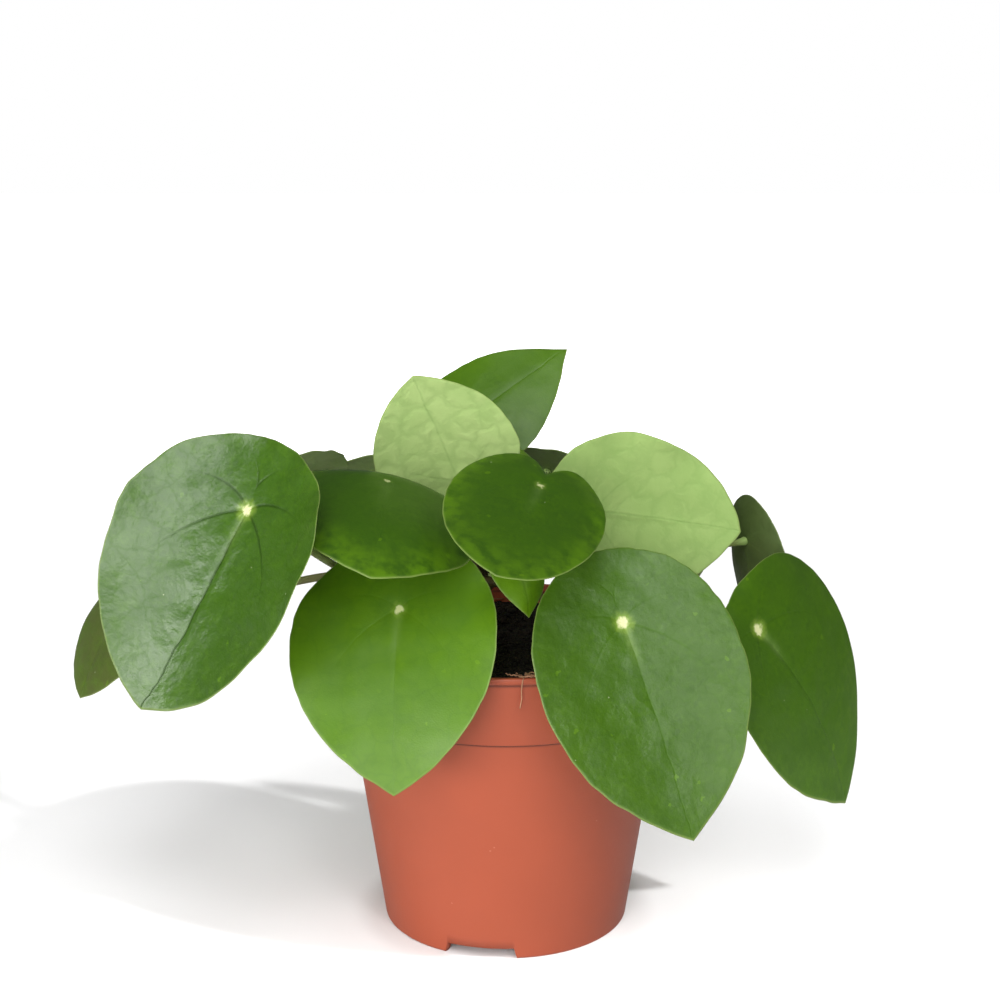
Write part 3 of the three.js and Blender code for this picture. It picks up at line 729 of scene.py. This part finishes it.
# Most fibres lie near the front, where the photograph shows them; the rest are spread round the rim.
angles = np.concatenate([rng.normal(-82, 7, 58), rng.uniform(0, 360, 60)])
for angle in np.radians(angles):
    start = polar(rng.uniform(54.5, 57.2), angle, 0.0)
    start[2] = soil_height(start[0], start[1]) + rng.uniform(0.2, 4.6)
    path = fibre_points(start, angle, (1.2, 1.9), (5, 13), rng, 0.02)
    keep_within(path, 0, 57.4)
    path[:, 2] = np.clip(path[:, 2], soil_height(path[:, 0], path[:, 1]) + 0.1, POT_HEIGHT + 0.8)
    add_fibre(path, rng.uniform(0.10, 0.24), [0.1, 0.2, 1.0])
# A few thick ones lie tangled on the rim's own lip, in the gap between two leaves at the front.
for angle in np.radians(rng.normal(-83, 3.0, 16)):
    path = fibre_points(polar(57.6, angle, POT_HEIGHT + 0.5), angle, (0.9, 1.9), (4, 9), rng)
    keep_within(path, 55.5, 59.3)
    path[:, 2] = POT_HEIGHT + 0.25 + 0.4 * np.abs(np.sin(np.arange(len(path)) * 0.7 + angle * 40))
    add_fibre(path, rng.uniform(0.14, 0.26), [0.1, 0.2, 1.0])
# One longer fibre hangs over the rim at the front.
rim_angle = np.radians([-84.5, -84.2, -84.8, -85.3, -85.6, -85.5, -86.0])
rim_out = np.array([56.5, 58.2, 59.6, 60.3, 60.35, 60.25, 60.1])
rim_high = np.array([101.0, 103.2, 103.5, 102.2, 99.5, 96.5, 93.5])
add_fibre(polar(rim_out, rim_angle, rim_high), 0.2, [1.0, 0.1, 0])
fibre_faces = []
points_before = 0
for part, rows in fibre_parts:
    fibre_faces += [face + points_before for face in skin_faces(rows, FIBRE_SIDES)]
    points_before += len(part)
points = np.vstack([part for part, _ in fibre_parts])
fibres = make_piece("coir_fibres", points, fibre_faces)
print("fibres", len(fibre_parts), "with", triangle_count(fibres), "triangles")

# %% [markdown]
# ## Finishes: the shared effects
#
# A finish is a small program of nodes. Effects that several finishes need are built once as node
# groups with named inputs and outputs: soft mottling, a net of fine veins, the main veins that fan
# out from the hub, and small pale specks. Each material then places them with its own values.

# %% Node helpers
def set_inputs(node, inputs):
    """Fills a node's inputs: a socket is linked, and anything else becomes the input's own value."""
    for key, value in inputs.items():
        if isinstance(value, bpy.types.NodeSocket):
            node.id_data.links.new(value, node.inputs[key])
        else:
            node.inputs[key].default_value = value
    return node


def add(tree, kind, inputs=None, **settings):
    """One new node with its settings and inputs."""
    node = tree.nodes.new("ShaderNode" + kind)
    for key, value in settings.items():
        setattr(node, key, value)
    return set_inputs(node, inputs or {})


def tree_of(values):
    """The node tree of the first value that is a socket."""
    return next(value.id_data for value in values if isinstance(value, bpy.types.NodeSocket))


def maths(operation, *values):
    """A Math node's result for one, two or three values or sockets."""
    return add(tree_of(values), "Math", dict(enumerate(values)), operation=operation).outputs[0]


def times(first, *others):
    """A product, with one Math node for each factor after the first."""
    for value in others:
        first = maths("MULTIPLY", first, value)
    return first


def times_plus(value, factor, more):
    """value x factor + more."""
    return maths("MULTIPLY_ADD", value, factor, more)


def vector_maths(operation, *values):
    """A Vector Math node's result for two or three vectors."""
    return add(tree_of(values), "VectorMath", dict(enumerate(values)), operation=operation).outputs[0]


def scaled(vector, size):
    """A vector times a number, which is input 3 of the node."""
    return add(vector.id_data, "VectorMath", {0: vector, 3: size}, operation="SCALE").outputs[0]


def bell_mask(value, width):
    """exp(-(value / width)^2): 1 on a line and soft to 0 beside it."""
    ratio = maths("DIVIDE", value, width)
    return maths("EXPONENT", times(ratio, ratio, -1.0))


def step_between(value, low, high):
    """0 below low, 1 above high and smooth between; low may be the larger one."""
    ramp = {"Value": value, "From Min": min(low, high), "From Max": max(low, high),
            "To Min": float(low > high), "To Max": float(low < high)}
    return add(value.id_data, "MapRange", ramp, interpolation_type="SMOOTHSTEP").outputs["Result"]


def blend(factor, first, second, mode="MIX"):
    """A colour mix: the first colour where factor is 0, the second where it is 1."""
    inputs = {0: factor, 6: first, 7: second}
    return add(factor.id_data, "Mix", inputs, data_type="RGBA", blend_type=mode).outputs[2]


def noise(place, scale, detail, output="Fac", roughness=0.5):
    """Noise at a place, as a value or as a colour."""
    inputs = {"Vector": place, "Scale": scale, "Detail": detail, "Roughness": roughness}
    return add(place.id_data, "TexNoise", inputs).outputs[output]


def bump(height, strength, distance):
    """The normal that a height gives; distance is what a height of 1 stands for, in metres."""
    inputs = {"Height": height, "Strength": strength, "Distance": distance}
    return add(height.id_data, "Bump", inputs).outputs["Normal"]


def new_group(name, inputs, outputs):
    """An empty node group. An input takes a vector if its default is None, and else a number."""
    tree = bpy.data.node_groups.new(name, "ShaderNodeTree")
    for label, default in inputs.items():
        kind = "NodeSocketVector" if default is None else "NodeSocketFloat"
        socket = tree.interface.new_socket(label, in_out="INPUT", socket_type=kind)
        if default is not None:
            socket.default_value = default
    for label in outputs:
        tree.interface.new_socket(label, in_out="OUTPUT", socket_type="NodeSocketFloat")
    return tree, tree.nodes.new("NodeGroupInput").outputs, tree.nodes.new("NodeGroupOutput")


def use_group(group, **inputs):
    """Places a node group in the tree that its inputs come from, and gives its outputs."""
    return add(tree_of(inputs.values()), "Group", inputs, node_tree=group).outputs


print("node helpers ready")

# %% Shared groups
mottle_inputs = dict(Position=None, Scale=1.0, Detail=3.0)
mottle_group, given, end = new_group("soft mottling", mottle_inputs, ["Mask"])
cloud = noise(given["Position"], given["Scale"], given["Detail"], roughness=0.55)
set_inputs(end, {"Mask": step_between(cloud, 0.3, 0.7)})

# The net follows cell borders whose points are pushed about by noise, as real veinlets wander.
net_inputs = dict(Position=None, Cell=9.0, Wander=0.22, Width=0.03)
net_group, given, end = new_group("net of fine veins", net_inputs, ["Line", "Dome"])
shrunk = scaled(given["Position"], maths("DIVIDE", 1.0, given["Cell"]))
centred = vector_maths("SUBTRACT", noise(shrunk, 1.7, 3.0, "Color"), (0.5, 0.5, 0.5))
moved = vector_maths("ADD", shrunk, scaled(centred, given["Wander"]))
cells = {"Vector": moved, "Scale": 1.0, "Randomness": 0.85}
border = add(net_group, "TexVoronoi", cells, feature="DISTANCE_TO_EDGE").outputs["Distance"]
set_inputs(end, {"Line": bell_mask(border, given["Width"]), "Dome": step_between(border, 0.0, 0.36)})

# Small round specks where a cell's own point is close, and only in some of the cells.
speck_inputs = dict(Position=None, Spacing=3.0, Size=0.1, Share=0.3)
speck_group, given, end = new_group("pale specks", speck_inputs, ["Mask"])
cells = {"Vector": given["Position"], "Scale": maths("DIVIDE", 1.0, given["Spacing"]), "Randomness": 1.0}
dots = add(speck_group, "TexVoronoi", cells).outputs
near = maths("LESS_THAN", dots["Distance"], given["Size"])
pick = add(speck_group, "SeparateColor", {"Color": dots["Color"]}).outputs["Red"]
set_inputs(end, {"Mask": times(near, maths("LESS_THAN", pick, given["Share"]))})

# The main veins repeat the blade surface's own formula, so the lines lie in the creases.
vein_group, given, end = new_group("main veins", dict(Place=None, Rim=0.0, Width=0.5), ["Line", "Radius"])
half_step = math.radians(VEIN_STEP / 2)
wander = times(maths("SUBTRACT", noise(given["Place"], 0.11, 2.0), 0.5), 3.0)
parts = add(vein_group, "SeparateXYZ", {"Vector": given["Place"]}).outputs
x = maths("ADD", parts["X"], times(wander, given["Rim"]))
y = parts["Y"]
radius = maths("SQRT", maths("ADD", times(x, x), times(y, y)))
angle = maths("ARCTAN2", maths("ABSOLUTE", x), y)
stretched = times(angle, times_plus(radius, VEIN_BEND, 1.0))
off = maths("PINGPONG", stretched, half_step)
line = bell_mask(times(off, radius), given["Width"])
on_midrib = maths("LESS_THAN", stretched, half_step)
strength = maths("MAXIMUM", on_midrib, step_between(given["Rim"], 0.8, 0.25))
set_inputs(end, {"Line": times(line, strength), "Radius": radius})


def mottled(place, scale, detail):
    """Soft blotches from 0 to 1 at a place in millimetres; a larger scale makes them smaller."""
    return use_group(mottle_group, Position=place, Scale=scale, Detail=detail)["Mask"]


def netted(place, cell, wander, width):
    """The net's lines and the domes between them, with cells of about so many millimetres."""
    return use_group(net_group, Position=place, Cell=cell, Wander=wander, Width=width)


def specked(place, spacing, size, share):
    """Round specks, one in a share of the cells, with size as a share of the spacing."""
    return use_group(speck_group, Position=place, Spacing=spacing, Size=size, Share=share)["Mask"]


print("groups:", [group.name for group in bpy.data.node_groups])

# %% [markdown]
# ## The leaf finish
#
# A pilea blade is deep green and waxy above, pale and duller below, with a whitish hub and a thin
# pale margin. One material serves every blade, because the surface carries its own facts: the
# place on the blade in millimetres, the share of the way to the margin, the side, and the tone.

# %% Leaf material
def start_material(name, pieces):
    """A new material for some pieces; gives its node tree and its Principled shader."""
    material = bpy.data.materials.new(name)
    material.use_nodes = True
    for piece in pieces:
        piece.data.materials.clear()
        piece.data.materials.append(material)
    return material.node_tree, material.node_tree.nodes["Principled BSDF"]


def read_attribute(tree, name, output="Fac"):
    """A value that the mesh stores on its points."""
    return add(tree, "Attribute", attribute_name=name).outputs[output]


LEAF_DEEP = (0.040, 0.110, 0.003, 1)
LEAF_FRESH = (0.160, 0.330, 0.006, 1)
LEAF_OLD = (0.090, 0.115, 0.026, 1)
LEAF_SHADE = (0.012, 0.036, 0.002, 1)
LEAF_MARGIN = (0.23, 0.29, 0.07, 1)
LEAF_UNDER = (0.310, 0.455, 0.135, 1)
LEAF_UNDER_FRESH = (0.495, 0.650, 0.245, 1)
LEAF_UNDER_VEIN = (0.190, 0.330, 0.080, 1)
# Painted shade: the dark colour of undersides that face away from the lights.
LEAF_UNDER_PAINTED_SHADE = (0.030, 0.048, 0.008, 1)
HUB_PALE = (0.78, 0.80, 0.42, 1)
HUB_HALO = (0.26, 0.40, 0.05, 1)
SPECK_PALE = (0.45, 0.52, 0.30, 1)
# These tints darken what they multiply.
CLOUD_TINT = (0.62, 0.72, 0.55, 1)
FLECK_TINT = (0.66, 0.74, 0.66, 1)
BLOTCH_TINT = (0.55, 0.66, 0.60, 1)
UNDER_CLOUD_TINT = (0.72, 0.82, 0.66, 1)
UNDER_BLOTCH_TINT = (0.84, 0.90, 0.80, 1)

tree, shader = start_material("waxy leaf", blades)
place = read_attribute(tree, "place", "Vector")
rim, under, tone, age, relief, crease, spot = (
    read_attribute(tree, name) for name in ("rim", "under", *LEAF_LOOKS))
veins = use_group(vein_group, Place=place, Rim=rim, Width=0.5)
net = netted(place, 9.0, 0.6, 0.045)
soft_net = netted(place, 8.5, 0.9, 0.13)
quilt = netted(place, 5.4, 0.5, 0.06)
clouds = mottled(place, 0.06, 3.0)
blotches = mottled(place, 0.22, 4.0)
flecks = mottled(place, 0.55, 3.0)
warped = vector_maths("MULTIPLY_ADD", noise(place, 0.5, 3.0, "Color"), (3.0, 3.0, 0.0), place)
spots = specked(warped, 5.5, 0.13, 0.25)
specks = specked(place, 4.2, 0.060, 0.12)

top = blend(age, blend(tone, LEAF_DEEP, LEAF_FRESH), LEAF_OLD)
top = blend(times(clouds, 0.42), top, CLOUD_TINT, "MULTIPLY")
# Blades whose hub hardly shows are the patchiest ones near the margin.
patchy = maths("SUBTRACT", 1.1, spot)
near_margin = times(step_between(rim, 0.62, 0.98), blotches)
top = blend(times(near_margin, patchy, 0.70), top, LEAF_FRESH)
top = blend(times(flecks, blotches, 0.22), top, LEAF_FRESH)
top = blend(times(flecks, times_plus(patchy, 0.35, 0.10)), top, FLECK_TINT, "MULTIPLY")
top = blend(times(blotches, 0.42), top, BLOTCH_TINT, "MULTIPLY")
top = blend(times(spots, step_between(rim, 0.35, 0.8), 0.35), top, LEAF_FRESH)
top = blend(times(net["Line"], 0.14), top, LEAF_DEEP)
top = blend(times(veins["Line"], maths("POWER", crease, 3.0), 0.6), top, LEAF_SHADE)
# A pale streak runs from the hub a little way down the midrib, soft and a few millimetres wide.
where = add(tree, "SeparateXYZ", {"Vector": place}).outputs
streak = times(bell_mask(where["X"], 1.5), step_between(where["Y"], 19.0, 3.0))
streak = times(streak, step_between(where["Y"], 0.5, 2.5), times_plus(blotches, 0.25, 0.18), spot)
top = blend(streak, top, LEAF_UNDER)
clear = times_plus(spot, 0.6, 0.4)
uneven = maths("DIVIDE", maths("ADD", flecks, veins["Radius"]), clear)
top = blend(times(step_between(uneven, 5.4, 2.0), spot, 0.8), top, HUB_HALO)
top = blend(times(step_between(uneven, 3.0, 1.7), clear), top, HUB_PALE)
top = blend(times(specks, 0.55), top, SPECK_PALE)

# Painted shade: the age and shade value darkens the undersides of the blades at the back, as if in shadow.
below = blend(age, blend(tone, LEAF_UNDER, LEAF_UNDER_FRESH), LEAF_UNDER_PAINTED_SHADE)
below = blend(times(clouds, 0.40), below, UNDER_CLOUD_TINT, "MULTIPLY")
below = blend(times(blotches, 0.30), below, UNDER_BLOTCH_TINT, "MULTIPLY")
under_net = times_plus(soft_net["Line"], 0.24, times(veins["Line"], 0.24))
below = blend(times(under_net, maths("SUBTRACT", 1.0, age)), below, LEAF_UNDER_VEIN)
colour = blend(under, top, below)
colour = blend(times(step_between(rim, 0.986, 0.995), 0.4), colour, LEAF_MARGIN)

# The waxier a blade, the more it shines and the more its fine relief shows.
shine = times(maths("SUBTRACT", 1.0, under), times_plus(relief, 2.6, -1.75))
# The wax is thin in the grooves of the veins, so they stay dark in the shine.
grooves = maths("MAXIMUM", times(net["Line"], 0.40), veins["Line"])
shine = times(shine, times_plus(grooves, -0.9, 1.0))

crinkle = noise(place, 0.5, 3.0)
rise = times_plus(net["Dome"], 0.20, times(quilt["Dome"], 0.09))
rise = times(times_plus(crinkle, 0.22, rise), relief)
rise = times_plus(times(veins["Line"], crease), -0.30, rise)
# The halves of a strongly veined blade fold up a little from the midrib.
fold = maths("SQRT", times_plus(where["X"], where["X"], 120.0))
rise = times(times_plus(fold, 0.20, rise), relief)
rise = times_plus(times(under, soft_net["Dome"]), 0.16, rise)
rise = times_plus(noise(place, 1.8, 3.0), 0.05, rise)
# The wax over it is smoother: it follows the crinkles, broad swells and the fold, not the fine net.
wave = times_plus(noise(place, 0.16, 2.0), 0.65, times(crinkle, 0.24))
wave = times(times_plus(fold, 0.20, wave), relief)
set_inputs(shader, {
    "Base Color": colour,
    "Roughness": times_plus(under, 0.20, times_plus(clouds, 0.10, 0.33)),
    "IOR": 1.45,
    "Specular IOR Level": 0.40,
    "Coat Weight": maths("MAXIMUM", shine, 0.0),
    "Coat Roughness": 0.32,
    "Normal": bump(rise, 0.8, MM),
    "Coat Normal": bump(wave, 0.8, MM),
})
print("leaf finish has", len(tree.nodes), "nodes")

# %% [markdown]
# ## Petiole, stem, pot and soil finishes
#
# A petiole is green-brown and slightly glossy, browner towards the stem. The stem is a dull bark.
# The pot is satin plastic, coloured through, so its colour hardly changes over the wall; what sells it
# is a soft grain in the gloss and faint scuffs, with painted shade lines under the collar step and the lip.
# Peat is rough and swallows the light.

# %% Other materials
PETIOLE_GREEN = (0.20, 0.26, 0.07, 1)
PETIOLE_BROWN = (0.16, 0.12, 0.045, 1)
BARK_LIGHT = (0.17, 0.135, 0.06, 1)
BARK_DARK = (0.07, 0.052, 0.026, 1)
TERRACOTTA = (0.420, 0.082, 0.034, 1)
TERRACOTTA_DUSK = (0.340, 0.068, 0.028, 1)
SCUFF_PALE = (0.62, 0.26, 0.16, 1)
# A painted shade colour, for the lines under the collar step and the lip.
STEP_SHADE_PAINT = (0.045, 0.014, 0.009, 1)
PEAT_DARK = (0.006, 0.004, 0.003, 1)
PEAT_LIGHT = (0.034, 0.021, 0.012, 1)
COIR = (0.60, 0.30, 0.17, 1)
COIR_DARK = (0.30, 0.15, 0.08, 1)
# Painted shade lines under the collar step and the lip: height, width and strength.
PAINTED_SHADE_LINES = ((COLLAR_BOTTOM - 0.35, 0.42, 0.75), (POT_HEIGHT - 2.75, 0.45, 0.60))  # height, width, strength


def object_place(tree):
    """Object coordinates in millimetres, for patterns that fill the piece."""
    return scaled(add(tree, "TexCoord").outputs["Object"], 1000.0)


tree, shader = start_material("petiole skin", petioles)
along = read_attribute(tree, "along")
streak = mottled(object_place(tree), 0.45, 4.0)
green = blend(step_between(along, 0.65, 0.05), PETIOLE_GREEN, PETIOLE_BROWN)
green = blend(times(streak, 0.35), green, PETIOLE_BROWN)
green = blend(step_between(along, 0.90, 1.0), green, LEAF_UNDER)
set_inputs(shader, {"Base Color": green, "Roughness": 0.42, "Normal": bump(streak, 0.3, 0.0003)})

tree, shader = start_material("stem bark", [stem])
place = object_place(tree)
plates = netted(place, 2.4, 0.8, 0.12)
bark = blend(mottled(place, 0.5, 5.0), BARK_DARK, BARK_LIGHT)
bark = blend(times(plates["Line"], 0.6), bark, BARK_DARK)
set_inputs(shader, {"Base Color": bark, "Roughness": 0.85, "Normal": bump(plates["Dome"], 0.8, 0.0006)})

tree, shader = start_material("terracotta plastic", [pot])
place = object_place(tree)
grain = noise(place, 2.2, 3.0)
clay = blend(times(mottled(place, 0.035, 3.0), 0.22), TERRACOTTA, TERRACOTTA_DUSK)
clay = blend(times(specked(place, 7.0, 0.045, 0.30), 0.35), clay, SCUFF_PALE)
level = add(tree, "SeparateXYZ", {"Vector": place}).outputs["Z"]
# Painted shade: a dark line under the collar step and one under the lip, where each overhang shades the
# wall, broken up by the grain.
for height, width, strength in PAINTED_SHADE_LINES:
    line = bell_mask(maths("SUBTRACT", level, height), width)
    clay = blend(times(line, times_plus(grain, 0.5, strength - 0.25)), clay, STEP_SHADE_PAINT)
gloss = times_plus(grain, 0.16, 0.36)
set_inputs(shader, {"Base Color": clay, "Roughness": gloss, "Normal": bump(grain, 0.12, 0.0002)})

tree, shader = start_material("damp peat", [soil])
lumps = mottled(object_place(tree), 0.7, 6.0)
peat = blend(lumps, PEAT_DARK, PEAT_LIGHT)
set_inputs(shader, {"Base Color": peat, "Roughness": 0.95, "Normal": bump(lumps, 0.9, 0.0009)})

tree, shader = start_material("peat crumb", [crumbs])
brown = blend(read_attribute(tree, "shade"), PEAT_DARK, PEAT_LIGHT)
brown = blend(times(mottled(object_place(tree), 1.6, 4.0), 0.4), brown, PEAT_DARK)
set_inputs(shader, {"Base Color": brown, "Roughness": 0.95})

tree, shader = start_material("coir fibre", [fibres])
coir = blend(mottled(object_place(tree), 0.4, 3.0), COIR, COIR_DARK)
set_inputs(shader, {"Base Color": coir, "Roughness": 0.7})
print("finishes:", [material.name for material in bpy.data.materials if material.users])

# %% [markdown]
# ## The studio
#
# The plant stands on a white floor before white. Wax shows what it mirrors, so each light was placed
# from a leaf that shines in one part and is dull in another: a large softbox high at the front, one
# low before the plant, one low at the left and a narrow one at the right. A sun from the right
# lights the floor alone and throws the soft shadow to the left. An overexposed sheet looks whiter
# than the light it gives back, so the floor has one value for the camera and one for the plant.

# %% Floor, lights and world
WHITE = (1, 1, 1, 1)
FLOOR_HALF = 6.0
FLOOR_SHOWN = 0.80  # the white sheet as the camera sees it, overexposed by FLOOR_GLOW
FLOOR_BOUNCE = 0.46  # the share of light that it gives back to the plant
FLOOR_GLOW = 0.16
# Painted contact shadow: the camera sees no floor glow within this reach of the pot's axis, so a darker
# ring lies round the pot's base.
CONTACT_SHADE_REACH = 0.044  # no glow within this distance of the pot's axis, in metres
CONTACT_SHADE_SOFTNESS = 0.012
SUN_AZIMUTH = 65.0
SUN_HEIGHT = 34.0
SUN_SPREAD = 2.5
SUN_STRENGTH = 2.6
SHADOWLESS = (12, 13, 14, 16, 17, 18, 19)  # leaves at the back
BOX_DISTANCE = 1.6
WORLD_FILL = 0.10

floor_mesh = bpy.data.meshes.new("studio_floor")
corners = [(x * FLOOR_HALF, y * FLOOR_HALF, 0) for x, y in ((-1, -1), (1, -1), (1, 1), (-1, 1))]
floor_mesh.from_pydata(corners, [], [(0, 1, 2, 3)])
floor = place_object("studio_floor", floor_mesh)
tree, shader = start_material("white floor", [floor])
seen = add(tree, "LightPath").outputs["Is Camera Ray"]
from_pot = vector_maths("SUBTRACT", add(tree, "TexCoord").outputs["Object"], tuple(to_part([0, 0, 0])))
away = add(tree, "VectorMath", {0: from_pot}, operation="LENGTH").outputs["Value"]
# Painted contact shadow: the glow fades out near the pot, which darkens the floor round its base.
glow = times(step_between(away, CONTACT_SHADE_REACH, CONTACT_SHADE_REACH + CONTACT_SHADE_SOFTNESS), FLOOR_GLOW)
set_inputs(shader, {
    "Base Color": blend(seen, (*[FLOOR_BOUNCE] * 3, 1), (*[FLOOR_SHOWN] * 3, 1)),
    "Roughness": 1.0,
    "Specular IOR Level": 0.0,
    "Emission Color": WHITE,
    "Emission Strength": times(seen, maths("ADD", glow, step_between(away, 0.5, 1.2))),
})


def aim(light, azimuth, height):
    """Turns a light so that its -Z axis points away from where it stands, at the plant."""
    light.rotation_euler = Vector(direction(azimuth, height)).to_track_quat("Z", "Y").to_euler()


def softbox(name, azimuth, height, width, tall, energy):
    """A rectangular area light that stands at BOX_DISTANCE and faces the plant."""
    data = bpy.data.lights.new(name, "AREA")
    data.shape = "RECTANGLE"
    data.size = width
    data.size_y = tall
    data.energy = energy
    light = place_object(name, data)
    light.location = BOX_DISTANCE * direction(azimuth, height) + np.array([0, 0, 0.1])
    aim(light, azimuth, height)


sun_data = bpy.data.lights.new("key", "SUN")
sun_data.energy = SUN_STRENGTH
sun_data.angle = math.radians(SUN_SPREAD)
sun = place_object("key", sun_data)
aim(sun, SUN_AZIMUTH, SUN_HEIGHT)
floor_only = bpy.data.collections.new("floor only")
floor_only.objects.link(floor)
sun.light_linking.receiver_collection = floor_only
# The photograph's shadow shows no trace of the leaves at the back, so they don't throw one.
throwers = bpy.data.collections.new("shadow throwers")
for number, blade, petiole in zip(LEAVES, blades, petioles):
    if number not in SHADOWLESS:
        throwers.objects.link(blade)
        throwers.objects.link(petiole)
for piece in (stem, pot, soil):
    throwers.objects.link(piece)
sun.light_linking.blocker_collection = throwers

softbox("high softbox", -5, 49, 0.8, 1.3, 13.5)
softbox("front softbox", -17, 10, 0.8, 1.0, 12)
softbox("left softbox", -54, 5, 0.8, 0.55, 10)
softbox("right softbox", 27, 21, 0.36, 1.3, 6)

world = bpy.data.worlds.new("white studio")
world.use_nodes = True
bpy.context.scene.world = world
seen = add(world.node_tree, "LightPath").outputs["Is Camera Ray"]
backdrop = world.node_tree.nodes["Background"]
set_inputs(backdrop, {"Color": WHITE, "Strength": maths("MAXIMUM", seen, WORLD_FILL)})
bpy.context.scene.view_settings.view_transform = "Standard"
print("lights:", [light.name for light in bpy.data.lights])

# %% Sizes and finish
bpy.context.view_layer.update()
pieces = blades + petioles + [stem, pot, soil, crumbs, fibres]
print(len(pieces), "pieces,", sum(map(triangle_count, pieces)), "triangles")
